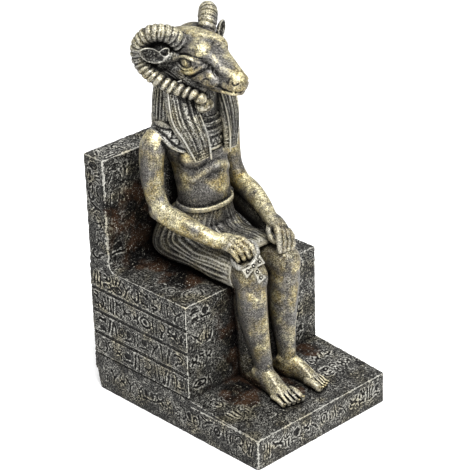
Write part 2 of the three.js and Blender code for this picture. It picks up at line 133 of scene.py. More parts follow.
def noise(points, size):
    """Smooth noise from -1 to 1 with lumps of about the given size"""
    place = np.asarray(points, dtype=np.float32) / size
    corner = np.floor(place).astype(np.int32)
    part = place - corner
    return mixed(NOISE, corner, part * part * (3 - 2 * part))


def blurred(values, cells):
    """Soft blur over every axis of an array, by repeated box averages"""
    out = values
    width = 2 * cells + 1
    for axis in range(values.ndim):
        pad = [(cells + 1, cells) if a == axis else (0, 0) for a in range(values.ndim)]
        first = tuple(slice(0, -width) if a == axis else slice(None) for a in range(values.ndim))
        last = tuple(slice(width, None) if a == axis else slice(None) for a in range(values.ndim))
        for _ in range(2):
            total = np.cumsum(np.pad(out, pad, mode="edge"), axis=axis, dtype=np.float64)
            out = ((total[last] - total[first]) / width).astype(np.float32)
    return out


def spline(values, t):
    """Smooth line through rows of values, for t from 0 to 1"""
    values = np.asarray(values, dtype=float)
    ends = np.vstack([2 * values[0] - values[1], values, 2 * values[-1] - values[-2]])
    spans = len(values) - 1
    place = np.clip(np.asarray(t, dtype=float) * spans, 0, spans - 1e-9)
    i = np.floor(place).astype(int)
    f = (place - i)[:, None]
    a, b, c, d = (ends[i + k] for k in range(4))
    return 0.5 * (2 * b + (c - a) * f + (2 * a - 5 * b + 4 * c - d) * f**2 + (3 * b - a - 3 * c + d) * f**3)


def unit(vectors):
    vectors = np.asarray(vectors, dtype=float)
    return vectors / np.linalg.norm(vectors, axis=-1, keepdims=True)


def between(pair, t):
    first, last = np.asarray(pair[0], dtype=float), np.asarray(pair[1], dtype=float)
    return first + (last - first) * t


# Closed skins: each is its points, its four-cornered faces and the triangles that fan over both ends

def skin(rings):
    rows, sides = rings.shape[:2]
    index = np.arange(rows * sides).reshape(rows, sides)
    here, above = index[:-1], index[1:]
    quads = np.stack([here, np.roll(here, -1, 1), np.roll(above, -1, 1), above], -1).reshape(-1, 4)
    points = np.vstack([rings.reshape(-1, 3), rings[0].mean(0), rings[-1].mean(0)])
    first, last = rows * sides, rows * sides + 1
    fans = [
        np.stack([np.full(sides, first), np.roll(index[0], -1), index[0]], -1),
        np.stack([np.full(sides, last), index[-1], np.roll(index[-1], -1)], -1),
    ]
    return points, quads, np.concatenate(fans)


def ring_points(at, side, deep, across, depth, power, sides, relief=0.0):
    """Rings round the places in at, ovals where the power is 2 and squarer above it, raised by the relief"""
    angle = np.linspace(0, 2 * np.pi, sides, endpoint=False)[None, :]
    exponent = 2 / power[:, None]
    x = across[:, None] * np.sign(np.cos(angle)) * np.abs(np.cos(angle)) ** exponent
    y = depth[:, None] * np.sign(np.sin(angle)) * np.abs(np.sin(angle)) ** exponent
    out = x[..., None] * side[:, None, :] + y[..., None] * deep[:, None, :]
    length = np.maximum(np.linalg.norm(out, axis=-1, keepdims=True), 1e-6)
    return at[:, None, :] + out * (1 + np.broadcast_to(relief, length.shape[:2])[..., None] / length)


def level_rings(at, across, depth, power, sides):
    """A closed skin of level rings"""
    side = np.broadcast_to((1.0, 0, 0), at.shape)
    deep = np.broadcast_to((0, 1.0, 0), at.shape)
    return skin(ring_points(at, side, deep, across, depth, power, sides))


DOME_RINGS = 6


def sweep(keys, rows=48, sides=40, hint=(1, 0, 0), domes=(True, True), relief=None):
    """A limb along a smooth line, with a dome at each end if domes says so.

    Each key is x, y, z, half width across, half depth and roundness, 2 if left out. hint is roughly the
    way across. relief(u, t, length) gives how far the skin stands out: u goes round from 0 to 1, t goes
    along from 0 to 1, and length is the way along in mm."""
    keys = np.array([list(key) + [2.0] * (6 - len(key)) for key in keys], dtype=float)
    t = np.linspace(0, 1, rows)
    turn = np.arange(1, DOME_RINGS + 1) / (DOME_RINGS + 1) * np.pi / 2
    shift, scale = np.zeros(rows), np.ones(rows)
    if domes[0]:
        t = np.concatenate([np.zeros(DOME_RINGS), t])
        shift = np.concatenate([-np.sin(turn[::-1]), shift])
        scale = np.concatenate([np.cos(turn[::-1]), scale])
    if domes[1]:
        t = np.concatenate([t, np.ones(DOME_RINGS)])
        shift = np.concatenate([shift, np.sin(turn)])
        scale = np.concatenate([scale, np.cos(turn)])
    row = spline(keys, t)
    tiny = 1e-3
    ahead, behind = np.minimum(t + tiny, 1), np.maximum(t - tiny, 0)
    along = unit(spline(keys[:, :3], ahead) - spline(keys[:, :3], behind))
    side = np.broadcast_to(np.asarray(hint, dtype=float), along.shape)
    side = unit(side - along * (side * along).sum(-1, keepdims=True))
    deep = np.cross(along, side)
    at = row[:, :3] + along * (shift * np.minimum(row[:, 3], row[:, 4]))[:, None]
    stands = 0.0
    if relief:
        steps = np.linalg.norm(np.diff(row[:, :3], axis=0), axis=1)
        length = np.concatenate([[0], np.cumsum(steps)])
        u = np.arange(sides) / sides
        stands = relief(u[None, :], t[:, None], length[:, None]) * scale[:, None]
    return skin(ring_points(at, side, deep, row[:, 3] * scale, row[:, 4] * scale, row[:, 5], sides, stands))


PEBBLE_ROWS = 26
PEBBLE_SIDES = 36


def pebble(at, size, turn=(0, 0, 0)):
    """An egg with the given half sizes, turned about X, then Y, then Z, in degrees"""
    up = np.linspace(-np.pi / 2, np.pi / 2, PEBBLE_ROWS + 2)[1:-1, None]
    round_it = np.linspace(0, 2 * np.pi, PEBBLE_SIDES, endpoint=False)[None, :]
    ball = np.stack([
        np.cos(up) * np.cos(round_it),
        np.cos(up) * np.sin(round_it),
        np.sin(up) + 0 * round_it,
    ], -1) * np.asarray(size)
    for axis, angle in zip("XYZ", turn):
        ball = ball @ np.array(Matrix.Rotation(math.radians(angle), 3, axis)).T
    return skin(ball + np.asarray(at))


def hoop(middle, a, b, start, end, tube):
    """Part of a ring round the middle, in the plane of the vectors a and b"""
    line = []
    for turn in np.radians(np.linspace(start, end, 13)):
        at = np.asarray(middle) + math.cos(turn) * np.asarray(a) + math.sin(turn) * np.asarray(b)
        line.append((*at, tube, tube))
    return sweep(line, rows=70, sides=18, hint=np.cross(a, b))


def mirrored(mesh):
    points = mesh[0] * np.array([-1, 1, 1])
    return (points,) + mesh[1:]


def both(mesh):
    return [mesh, mirrored(mesh)]


# Clay: a region of space in small cells. Each cell holds the distance to the surface of all that was added.

SKIN_EDGE = 0.8


class Clay:
    def __init__(self, low, high, cell):
        self.cell = cell
        self.far = REACH * cell
        self.first = np.floor(np.asarray(low) / cell).astype(int)
        count = np.ceil(np.asarray(high) / cell).astype(int) - self.first
        self.value = np.full(tuple(count), self.far, dtype=np.float32)
        self.flesh = np.zeros(tuple(count), dtype=np.float32)

    def windows(self, meshes):
        """For each mesh, the cells near it and their distances from it"""
        for points, quads, triangles in meshes if isinstance(meshes, list) else [meshes]:
            grid = vdb.FloatGrid.createLevelSetFromPolygons(
                points.astype(np.float32),
                triangles=triangles.astype(np.uint32),
                quads=quads.astype(np.uint32),
                transform=vdb.createLinearTransform(voxelSize=self.cell),
                halfWidth=float(REACH),
            )
            low, high = (np.array(corner) for corner in grid.evalActiveVoxelBoundingBox())
            low = np.maximum(low, self.first)
            high = np.minimum(high + 1, self.first + self.value.shape)
            near = np.empty(tuple(high - low), dtype=np.float32)
            grid.copyToArray(near, ijk=tuple(int(v) for v in low))
            yield tuple(slice(a, b) for a, b in zip(low - self.first, high - self.first)), near

    def add(self, meshes, blend=0.3, flesh=0.0):
        """Joins meshes on, with a fillet of about the blend size. flesh is 1 for bare skin, 0 for cloth."""
        for place, near in self.windows(meshes):
            here = self.value[place]
            mix = np.clip(0.5 + 0.5 * (here - near) / blend, 0, 1)
            self.value[place] = here * (1 - mix) + near * mix - blend * mix * (1 - mix)
            tint = np.clip(0.5 + 0.5 * (here - near) / SKIN_EDGE, 0, 1)
            self.flesh[place] += (flesh - self.flesh[place]) * tint

    def cut(self, meshes, blend=0.3, bare=True):
        """Takes meshes away. The cut is no bare skin when bare is false."""
        for place, near in self.windows(meshes):
            here = self.value[place]
            mix = np.clip(0.5 + 0.5 * (here + near) / blend, 0, 1)
            self.value[place] = here * mix - near * (1 - mix) + blend * mix * (1 - mix)
            if not bare:
                self.flesh[place] *= np.clip(near / 0.5 - 0.1, 0, 1)

    def add_forms(self, forms):
        """Rounded forms of bare skin on both sides, each a centre, half sizes, a turn and a fillet"""
        for at, size, turn, blend in forms:
            self.add(both(pebble(at, size, turn)), blend, flesh=1)

    def cells(self, low, high):
        """The cells of a box, with the place of each"""
        a = np.clip(np.floor(np.asarray(low) / self.cell).astype(int) - self.first, 0, self.value.shape)
        b = np.clip(np.ceil(np.asarray(high) / self.cell).astype(int) - self.first, 0, self.value.shape)
        axes = [(np.arange(a[k], b[k]) + self.first[k]) * self.cell for k in range(3)]
        points = np.stack(np.meshgrid(*axes, indexing="ij"), -1)
        return tuple(slice(a[k], b[k]) for k in range(3)), points

    def raise_by(self, low, high, height):
        """Moves the surface out by height(points) in a box. Works for patterns seen from one side."""
        place, points = self.cells(low, high)
        values = self.value[place]
        near = np.abs(values) < self.far
        values[near] -= height(points[near])

    def at(self, values, points):
        """Values of the cells, read between cells at the points"""
        place = np.clip(points / self.cell - self.first, 0, np.array(values.shape) - 1.001)
        corner = np.floor(place).astype(int)
        return mixed(values, corner, place - corner)

    def side_x(self, y, z, widest=20.0):
        """How far out to the left the surface is at a height and depth, looking in from the side"""
        x = np.arange(widest, 0, -0.1)
        inside = self.at(self.value, np.stack([x, 0 * x + y, 0 * x + z], -1)) < 0
        return float(x[np.argmax(inside)])

    def mesh(self):
        """The surface as points and faces. The library winds its faces inwards, so each is turned round."""
        grid = vdb.FloatGrid(self.far)
        grid.copyFromArray(np.ascontiguousarray(self.value), ijk=tuple(int(v) for v in self.first))
        grid.transform = vdb.createLinearTransform(voxelSize=self.cell)
        points, triangles, quads = grid.convertToPolygons(isovalue=0.0, adaptivity=0.0)
        return points.astype(float), quads[:, ::-1].tolist() + triangles[:, ::-1].tolist()


NO_STROKE = 9.0
FINE_HOLLOW = 0.9
BROAD_HOLLOW = 3.0


def hollows(clay, points):
    """How far each point stands in a groove (under 0) or on an edge (over 0), at a fine and a broad scale"""
    near = np.clip(clay.value, -clay.far, clay.far)
    fine = clay.at(blurred(near, max(1, round(FINE_HOLLOW / clay.cell))), points)
    broad = clay.at(blurred(near, round(BROAD_HOLLOW / clay.cell)), points)
    return fine, broad


# Blender objects

def mesh_object(name, points, faces, values):
    """A smooth-shaded mesh in metres, with one number per point for each named value"""
    mesh = bpy.data.meshes.new(name)
    mesh.from_pydata((points * MM).tolist(), [], faces)
    mesh.validate()
    for key, numbers in values.items():
        layer = mesh.attributes.new(key, "FLOAT", "POINT")
        layer.data.foreach_set("value", np.asarray(numbers, dtype=np.float32))
    mesh.shade_smooth()
    piece = bpy.data.objects.new(name, mesh)
    bpy.context.scene.collection.objects.link(piece)
    return piece


def apply_modifiers(piece):
    graph = bpy.context.evaluated_depsgraph_get()
    done = bpy.data.meshes.new_from_object(piece.evaluated_get(graph), depsgraph=graph)
    old = piece.data
    piece.modifiers.clear()
    piece.data = done
    done.name = piece.name
    bpy.data.meshes.remove(old)


def thinned(piece):
    """Joins the flattest faces until the piece has no more than the triangles it may have"""
    triangles = sum(len(face.vertices) - 2 for face in piece.data.polygons)
    if triangles > MOST_TRIANGLES:
        modifier = piece.modifiers.new("thin", "DECIMATE")
        modifier.ratio = MOST_TRIANGLES / triangles
        apply_modifiers(piece)
    return piece


def sculpted(name, clay, strokes=None, stain_and_shade_share=1.0):
    """The piece for a region of clay. strokes(points) tells how near each point is to a cut line."""
    points, faces = clay.mesh()
    fine, broad = hollows(clay, points)
    return thinned(mesh_object(name, points, faces, {
        "fine": fine,
        "broad": broad,
        "flesh": clay.at(clay.flesh, points),
        "soot": stain_and_shade_share * soot(points),
        "stroke": strokes(points) if strokes else np.full(len(points), NO_STROKE),
    }))


# Stains and painted shade: brown-black patches on the stone round the figure, partly stains and partly
# painted shade where the figure shades the stone, and the hands, knees and feet made a little darker

STEP_SPOTS = ((-24, -27, 15), (36, -21, 8))
KNEE_DARKENING = 0.3
HAND_DARKENING = 0.15
FOOT_DARKENING = 0.26


def soot(points):
    x, y, z = points.T
    patch = noise(points, 9) + 0.5 * noise(points + 40, 4)
    # Painted shade: the stone is darkened where the figure shades it, on the slab behind it, the seat and
    # base under it and between its legs and feet. Noise breaks this into patches.
    on_slab = bump(y, SLAB_FRONT_Y, 3) * ease(z, 60, 84) * bump(x, 0, 56) * ease(z, 152, 120)
    on_seat = bump(z, SEAT_TOP, 5) * ease(y, THRONE_FRONT_Y + 2, 10) * bump(x, 0, 46)
    up_front = ease(z, 14, 24) * ease(z, SEAT_TOP + 3, SEAT_TOP)
    on_front = bump(y, THRONE_FRONT_Y, 4) * up_front * bump(x, 0, 27)
    low = ease(BASE_TOP_BACK + 3 - z, -2, 1)
    on_base = low * bump(y, THRONE_FRONT_Y, 20) * bump(x, 0, 32) * ease(z, 10, 16)
    by_feet = bump(x, 0, 6) * ease(-y, 20, 28) * ease(y, -56, -46) * ease(z, 30, 24)
    spots = sum(bump(np.hypot(x - at_x, y - at_y), 0, size) for at_x, at_y, size in STEP_SPOTS)
    on_step = spots * (ease(z, 14, 18) * ease(z, 30, 26))
    where = np.maximum.reduce([on_slab, on_seat, on_front, on_base, by_feet, on_step])
    over_knees = ease(-y, 12, 20) * ease(z, 82, 90) * ease(z, 120, 112)
    over_feet = ease(-y, 30, 38) * ease(z - base_top(y), 0.8, 2.2) * ease(z, 36, 28)
    darkening = over_knees * (KNEE_DARKENING + HAND_DARKENING * ease(z, 97, 101)) + FOOT_DARKENING * over_feet
    return np.maximum(ease(where * 1.25 + 0.35 * patch, 0.5, 0.8), darkening)


# Head

SKULL = [
    (0, 40, 206, 10.5, 11, 2.1),
    (0, 31, 206.8, 12.4, 12.4, 2.1),
    (0, 21, 206.2, 12.0, 11.8, 2.2),
    (0, 11, 202.4, 8.8, 9.6, 2.5),
    (0, 2, 198.6, 7.0, 8.0, 2.7),
    (0, -4.0, 197.2, 6.1, 6.7, 2.6),
    (0, -6.9, 196.6, 4.5, 4.8, 2.3),
]
JAW = [
    (0, 27, 197.4, 11.4, 12, 2.2),
    (0, 14, 195.2, 9.2, 7.6, 2.2),
    (0, 4, 192.6, 6.8, 4.0, 2.2),
    (0, -4.4, 191.8, 4.1, 2.3, 2.2),
]
NECK = [(0, 27.6, 160, 11, 12.4), (0, 27, 180, 10.6, 11.6), (0, 29, 196, 11, 12)]

# Horns: a spiral with close ribs at its thick end, which turn into beads at its thin end
HORN_LINE = [
    (9.6, 28.2, 213.4), (14.0, 30.6, 218.6), (18.4, 34.2, 220.6), (21.8, 38.6, 219.8), (24.2, 42, 216.8),
    (25.6, 44.4, 212.4), (26.2, 44.4, 207), (26.2, 42.4, 202.7), (25.6, 39, 199.3), (24.4, 34.8, 196.2),
    (22.3, 30.2, 193.7), (19.4, 25.4, 191.5), (16.6, 20.6, 189.8), (13.8, 15.4, 188.2), (11.4, 11.2, 186.2),
]
HORN_THICK = 5.1
HORN_THIN = 3.1
RIB_PITCH = 3.0
BEAD_PITCH = 4.2
FAR_HORN_SHIFT = (-0.9, 0, 2.2)


def horn_ribs(u, t, length):
    beads = ease(length / length.max(), 0.55, 0.75)
    pitch = RIB_PITCH + (BEAD_PITCH - RIB_PITCH) * beads
    phase = np.cumsum(np.gradient(length[:, 0]) / pitch[:, 0])[:, None]
    slant = 0.16 * np.cos(2 * np.pi * u + 1.0)
    place = phase + (slant + 0.07 * np.sin(phase * 2.3) + 0.05 * np.sin(phase * 5.1 + 6 * u))
    line = groove(place, 0.13 + 0.09 * beads)
    scratch = (0.24 * groove(place * 3 + 0.5, 0.2) + 0.1 * groove(place * 5 + 0.2, 0.25)) * (1 - beads)
    return 0.2 - (0.75 + 0.4 * beads) * line - scratch


def horn(shift=(0, 0, 0)):
    last = len(HORN_LINE) - 1
    keys = []
    for i, at in enumerate(HORN_LINE):
        radius = HORN_THICK + (HORN_THIN - HORN_THICK) * (i / last) ** 1.1
        keys.append((*np.add(at, np.multiply(shift, min(i / 3, 1))), radius, radius))
    return sweep(keys, rows=460, sides=72, hint=(0.9, 0.4, 0), domes=(False, True), relief=horn_ribs)


# Ear: a thin-edged cup that points out and up, with a small fold at its root

EAR_ROOT = np.array((22.4, 31.4, 207.2))
EAR_TIP = np.array((31.8, 37.4, 213.2))
# Half width at shares of the length
EAR_HALF = ((0, 2.7), (0.2, 3.7), (0.5, 4.0), (0.8, 2.8), (1, 0.4))
EAR_STALK = [(12, 29.4, 206.6, 3.4, 3.0), (23, 32.0, 207.6, 2.4, 2.0)]
EAR_HOLLOW = ((19.4, 30.6, 210.4), (2.3, 2.6, 1.9))
FOLD_CENTRE = (19.6, 31.0, 210.3)
FOLD_LONG = (2.7, 1.3, -0.4)
FOLD_WIDE = (-0.5, -0.5, 2.2)


def ear_leaf(start, end, narrower, thickness, forward):
    keys = []
    for t, half in EAR_HALF:
        x, y, z = EAR_ROOT + (EAR_TIP - EAR_ROOT) * (start + (end - start) * t)
        half = max(half - narrower, 0.2)
        keys.append((x + 0.2 * forward, y - forward, z + 0.1 * forward, half, half * thickness))
    return sweep(keys, rows=50, sides=48, hint=(0, 0, 1))


def add_ears(clay):
    clay.add(both(sweep(EAR_STALK, rows=20, sides=40, hint=(0, 0, 1))), blend=1.5)
    clay.add(both(ear_leaf(0, 1, 0, 0.62, 0)), blend=0.8, flesh=0.3)
    clay.cut(both(ear_leaf(0.03, 0.97, 0.45, 0.8, 1.5)), blend=0.25, bare=False)
    clay.cut(both(pebble(*EAR_HOLLOW)), blend=0.4)
    clay.add(both(hoop(FOLD_CENTRE, FOLD_LONG, FOLD_WIDE, -50, 200, 0.36)), blend=0.5, flesh=0.3)


# Hair that fills the curl of each horn and runs forward under the cheek

HAIR_MASS = ((9.5, 40, 205.4), (13.6, 10.4, 11.4))
HAIR_BED = [
    (14.6, 38, 203, 5.2, 8, 2),
    (11.6, 32, 198.4, 3.8, 5.6, 2),
    (9.8, 22, 192.8, 3.0, 3.6, 2),
    (8.2, 13, 190.8, 2.2, 2.4, 2),
]
STRANDS = 7


def add_side_hair(clay):
    clay.add(both(pebble(*HAIR_MASS)), blend=1.0)
    clay.add(both(sweep(HAIR_BED, rows=40, sides=30)), blend=1.0)
    for k in range(STRANDS):
        angle = math.radians(-65 + 130 * k / (STRANDS - 1))
        wave = 0.35 * math.sin(k * 2.4)
        line = []
        for i, (x, y, z, across, deep, _) in enumerate(HAIR_BED):
            out = (x + across * math.cos(angle), y - 0.2, z - deep * math.sin(angle) + wave * (i % 2))
            line.append((*out, 0.7 - 0.1 * i, 0.75 - 0.12 * i))
        clay.add(both(sweep(line, rows=60, sides=16, hint=(1, -0.3, 0.3))), blend=0.4)


# Eye: a ball in a long almond opening between thick lids, with a full fold under it

EYE = (21.8, 204.9)
EYE_BALL = (2.3, 4.0, 3.3)
EYE_OPENING = (2.2, 8.2, 3.4)
# Lines on the side of the face: y, z and thickness
CREASE = (
    (31.4, 203.6, 0.3), (29.6, 206.4, 0.5), (25.2, 208.6, 0.6),
    (19.8, 210.2, 0.55), (15.0, 209.8, 0.5), (11.4, 208.8, 0.3),
)
UPPER_LID = (
    (30.4, 204.0, 0.5), (27.6, 206.2, 0.75), (24.0, 207.9, 0.85),
    (20.0, 208.5, 0.85), (16.4, 207.9, 0.75), (12.6, 206.6, 0.4),
)
LOWER_LID = (
    (30.4, 203.8, 0.5), (28.0, 202.6, 0.7), (25.2, 201.2, 0.8),
    (21.4, 200.9, 0.8), (17.0, 202.6, 0.75), (12.6, 206.0, 0.4),
)
BAG = (
    (31.0, 202.2, 0.6), (27.8, 200.2, 1.1), (24.0, 198.6, 1.35),
    (18.4, 199.6, 1.35), (13.4, 202.6, 1.1), (10.2, 205.2, 0.6),
)
BAG_LINE = (
    (32.2, 201.6, 0.4), (29.6, 198.4, 0.6), (24.4, 196.2, 0.7),
    (18.8, 197.0, 0.65), (13.6, 200.4, 0.6), (8.4, 203.8, 0.4),
)


def laid(clay, line, out):
    """A line on the side of the head, on the surface or out from it"""
    keys = [(clay.side_x(y, z) + out, y, z, tube, tube) for y, z, tube in line]
    return both(sweep(keys, rows=80, sides=18, hint=(0, 0, 1)))


def around(middle, half_y, half_z, tube, start=0, end=360):
    y, z = middle
    turns = np.radians(np.linspace(start, end, 17))
    return [(y + half_y * math.cos(t), z + half_z * math.sin(t), tube) for t in turns]


def add_eyes(clay):
    y, z = EYE
    out = clay.side_x(y, z)
    clay.cut(laid(clay, CREASE, 0.1), blend=0.7)
    clay.cut(laid(clay, BAG_LINE, 0.1), blend=0.8)
    lids = laid(clay, UPPER_LID, 0.35) + laid(clay, LOWER_LID, 0.3)
    bag = laid(clay, BAG, 0.1)
    clay.cut(both(pebble((out + 0.7, y - 0.4, z - 0.3), EYE_OPENING, (-9, 0, 7))), blend=0.6)
    clay.add(both(pebble((out - 1.5, y, z), EYE_BALL)), blend=0.2, flesh=0.4)
    clay.cut(laid(clay, around(EYE, 2.5, 2.2, 0.32), 0.05), blend=0.3)
    clay.cut(laid(clay, around(EYE, 0.5, 0.45, 0.3), 0.1), blend=0.3)
    clay.add(bag, blend=0.7, flesh=1)
    clay.add(lids, blend=0.3, flesh=0.8)


# Face, nose and mouth

BROWS = (
    ((7.2, 22.0, 205.0), (5.4, 10.4, 8.6), (0, 0, 7), 2.5),
    ((5.8, 21.4, 210.6), (5.6, 8.6, 5.0), (8, 0, 10), 3.0),
    ((6.0, 16.4, 210.8), (5.2, 6.4, 5.0), (0, 0, 0), 4.0),
    ((6.6, 9.0, 199.4), (3.7, 8.6, 5.0), (16, 0, 12), 2.2),
)
CHEEKS = (
    ((7.6, 16.4, 197.2), (3.8, 9.0, 4.8), (10, 0, 8), 2.8),
    ((6.6, 7.2, 195.6), (2.6, 3.2, 2.7), (0, 0, 0), 1.2),
)
BRIDGE = [
    (5.0, 16, 211.0, 2.0, 2.0),
    (4.7, 9.6, 208.3, 2.3, 2.3),
    (4.4, 1.3, 202.6, 2.3, 2.3),
    (3.6, -6, 197.6, 2.0, 2.0),
]
NOSE_SIDE = [
    (11.2, 10.6, 207.6, 1.7, 1.4),
    (9.6, 5.8, 204.4, 1.7, 1.4),
    (8.4, 0.6, 201.2, 1.4, 1.2),
    (7.4, -4.2, 198.8, 0.8, 0.8),
]
CHEEK_LINE = ((22.0, 192.6, 0.4), (17.0, 193.8, 0.6), (13.0, 194.6, 0.6), (10.6, 194.0, 0.4))
MOUTH_CORNER = (7.2, 195.8)
NOSE_TIP = ((0, -7.2, 199.2), (4.3, 3.5, 3.4), (28, 0, 0))
NOSE_BULGE = ((3.1, -7.2, 197.5), (2.5, 3.3, 2.8))
NOSTRIL = ((-10.6, 198.4, 0.6), (-9.5, 197.4, 0.7), (-8.1, 197.6, 0.7), (-7.4, 199.0, 0.55))
NOSE_WING = ((-6.0, 201.0, 0.3), (-4.9, 199.4, 0.45), (-4.9, 197.4, 0.3))
NOSE_MIDDLE = [(0, -11.9, 198.4, 0.3, 0.4), (0, -12.1, 196, 0.35, 0.5), (0, -11.5, 194.2, 0.3, 0.4)]
UPPER_LIP = [(0, -8.7, 195.4, 2.9, 2.2), (3.6, -6.2, 195.2, 2.4, 2.1), (5.6, -1.6, 195.8, 1.6, 1.8)]
LOWER_LIP = [(0, -7.6, 191.5, 2.2, 1.3), (3.2, -5.7, 191.5, 1.9, 1.3), (6.2, -0.2, 192.2, 1.3, 1.2)]
MOUTH = (
    (-10.6, 193.0, 0.5), (-7.8, 192.7, 0.5), (-5.0, 193.0, 0.5),
    (-2.4, 193.5, 0.85), (2.4, 194.4, 0.85), (4.4, 194.9, 0.3),
)
MOUTH_FRONT = [(-3.4, -10.5, 193.0, 0.6, 0.5), (0, -11.9, 193.3, 0.6, 0.5), (3.4, -10.5, 193.0, 0.6, 0.5)]


def add_face(clay):
    clay.add_forms(BROWS)
    clay.add(both(sweep(BRIDGE, rows=50, sides=30)), blend=2.2, flesh=1)
    clay.add_forms(CHEEKS)
    clay.cut(both(sweep(NOSE_SIDE, rows=40, sides=24)), blend=2.4)
    clay.cut(laid(clay, around(MOUTH_CORNER, 3.2, 2.9, 0.42, 0, 200), 0.1), blend=0.5)
    clay.cut(laid(clay, CHEEK_LINE, 0.1), blend=0.6)


def add_nose(clay):
    clay.add(pebble(*NOSE_TIP), blend=2.8, flesh=1)
    clay.add(both(pebble(*NOSE_BULGE)), blend=1.4, flesh=1)
    clay.cut(laid(clay, NOSTRIL, 0), blend=0.3)
    clay.cut(laid(clay, NOSE_WING, 0), blend=0.6)
    clay.cut(sweep(NOSE_MIDDLE, rows=24, sides=12), blend=0.4)


def add_mouth(clay):
    clay.add(both(sweep(UPPER_LIP, rows=40, sides=24)), blend=1.8, flesh=1)
    clay.add(both(sweep(LOWER_LIP, rows=40, sides=24)), blend=1.0, flesh=1)
    clay.cut(laid(clay, MOUTH, 0), blend=0.3)
    clay.cut(sweep(MOUTH_FRONT, rows=30, sides=16), blend=0.3)


HAIR_PITCH = 1.05
HAIR_DEPTH = 0.3
HAIR_BOX = ((-16, -16, 184), (16, 34, 226))


def hair_strokes(points):
    """Short hairs cut along the bridge, the temples and the throat"""
    x, y, z = points.T
    side = np.abs(x)
    wave = 0.5 * noise(points, 4)
    across = np.where(y < 12, side * 1.1 + 0.35 * z, z - 0.5 * y)
    lines = np.cos((across / HAIR_PITCH + wave) * 2 * np.pi)
    broken = ease(noise(points * np.array((1, 0.3, 0.7)) + 9, 1.5), -0.1, 0.35)
    bridge = ease(14 - y, 0, 6) * ease(z - 0.45 * y, 193, 198) * (bump(side, 0.6, 1.8) + bump(side, 7.4, 1.4))
    temple = ease(side, 8, 11) * ease(y, 22, 27) * ease(z, 206, 210)
    throat = ease(199 - z - 0.3 * y, -6, 0) * ease(y, 10, 16)
    return HAIR_DEPTH * (lines - 0.75) * broken * np.clip(bridge + temple + throat, 0, 1)


# Wig: a striped cloth behind the head and over the shoulders, with two edged lappets over the chest

WIG = [
    (0, 38.6, 152, 19.8, 12.0, 2.4),
    (0, 37.0, 171, 20.6, 14.2, 2.3),
    (0, 37.0, 186, 18.6, 13.8, 2.2),
    (0, 38, 208, 13, 9.6, 2),
]
WIG_STRIPES = 44
LAPPET = [
    (13.6, 29, 192, 7.4, 5, 3),
    (15.4, 21, 174, 9, 3.8, 3),
    (13.2, 15.4, 162, 7.6, 2.8, 3),
    (10.6, 13.0, 149.5, 5.4, 2.2, 3),
]
LAPPET_STRIPES = 25
LAPPET_WAVE = 0.12
LAPPET_WAVES = 57
LAPPET_BAND_PITCH = 1.75
LAPPET_EDGE = 0.55
LAPPET_TURN = (1, 0.45, 0)
LAPPET_FRONT = (LAPPET_TURN[1], -LAPPET_TURN[0], 0)


def wig_stripes(u, t, length):
    return 0.2 - 0.8 * groove(u * WIG_STRIPES, 0.16) - 0.2 * groove(u * WIG_STRIPES * 2 + 0.5, 0.2)


def lappet_phase(u):
    """How many stripes round a lappet a place is"""
    return u * LAPPET_STRIPES + LAPPET_WAVE * np.sin(u * LAPPET_WAVES)


def lappet_lines(u, t, length):
    stripes = groove(lappet_phase(u), 0.2) * (1 - ease(t, 0.86, 0.875))
    bands = groove((length.max() - length) / LAPPET_BAND_PITCH + 0.5, 0.2) * ease(t, 0.8, 0.86)
    return 0.2 - 0.9 * stripes - 0.6 * bands


def add_wig(clay):
    clay.add(sweep(WIG, rows=120, sides=720, domes=(False, True), relief=wig_stripes), blend=0.4)
    lappet = sweep(LAPPET, rows=150, sides=420, hint=LAPPET_TURN, domes=(False, False), relief=lappet_lines)
    clay.add(both(lappet), blend=0.4, flesh=0.15)
    for side in (-1, 1):
        edge = []
        for x, y, z, across, deep, _ in LAPPET:
            out = side * (across - 0.8) * unit(LAPPET_TURN) + deep * 0.95 * unit(LAPPET_FRONT)
            edge.append((x + out[0], y + out[1], z, LAPPET_EDGE, LAPPET_EDGE))
        clay.add(both(sweep(edge, rows=80, sides=20)), blend=0.3)


# Where the dark wash stands in the head's cut lines

def ear_marks(points):
    """Dark inside the cups of the ears, half dark on their rims"""
    place = np.abs(points[:, :1]) * (1, 0, 0) + points * (0, 1, 1) - EAR_ROOT
    along = EAR_TIP - EAR_ROOT
    t = place @ along / (along @ along)
    half = np.interp(t, *zip(*EAR_HALF))
    off = place - t[:, None] * along
    across = off @ unit(np.array((0, 0, 1)) - along * along[2] / (along @ along))
    deep = off @ unit(np.cross(along, (0, 0, 1)))
    inside = (t > 0.02) & (t < 0.95) & (np.abs(across) < half - 0.8) & (deep > -2.0)
    on_ear = (t > -0.2) & (t < 1.1) & (np.abs(across) < half + 0.6) & (np.abs(deep) < 3)
    return np.where(inside, 0, np.where(on_ear, 0.2, NO_STROKE))


def lappet_marks(points):
    """How near each point of the lappets' fronts is to a cut line"""
    centre = spline(LAPPET, np.linspace(0, 1, 60))[::-1]
    x, y, across, deep = (np.interp(points[:, 2], centre[:, 2], centre[:, k]) for k in (0, 1, 3, 4))
    off = np.stack([np.abs(points[:, 0]) - x, points[:, 1] - y], -1)
    share = off @ unit(LAPPET_TURN)[:2] / across
    angle = np.arccos(np.clip(np.sign(share) * np.abs(share) ** 1.5, -1, 1))
    phase = lappet_phase(angle / (2 * np.pi))
    near = np.abs(phase - np.round(phase)) * np.pi * (across + deep) / LAPPET_STRIPES
    on_front = (off @ unit(LAPPET_FRONT)[:2] > 0.5 * deep) & (np.abs(share) < 0.9)
    above_bands = (points[:, 2] < 183) & (points[:, 2] > LAPPET[-1][2] + 6)
    return np.where(on_front & above_bands, 0.9 * near, NO_STROKE)


def head_marks(points):
    return np.minimum(ear_marks(points), lappet_marks(points))


# The rough lump of resin by the tip of the near horn, and the box that it lies in
LUMP = ((7.4, 13.4, 180.6), (5.4, 4.4, 4.2), (-16, 0, 20))
LUMP_BOX = ((-16, 8, 172), (0, 22, 188))
HEAD_BOX = ((-36, -18, 141), (36, 57, 230))


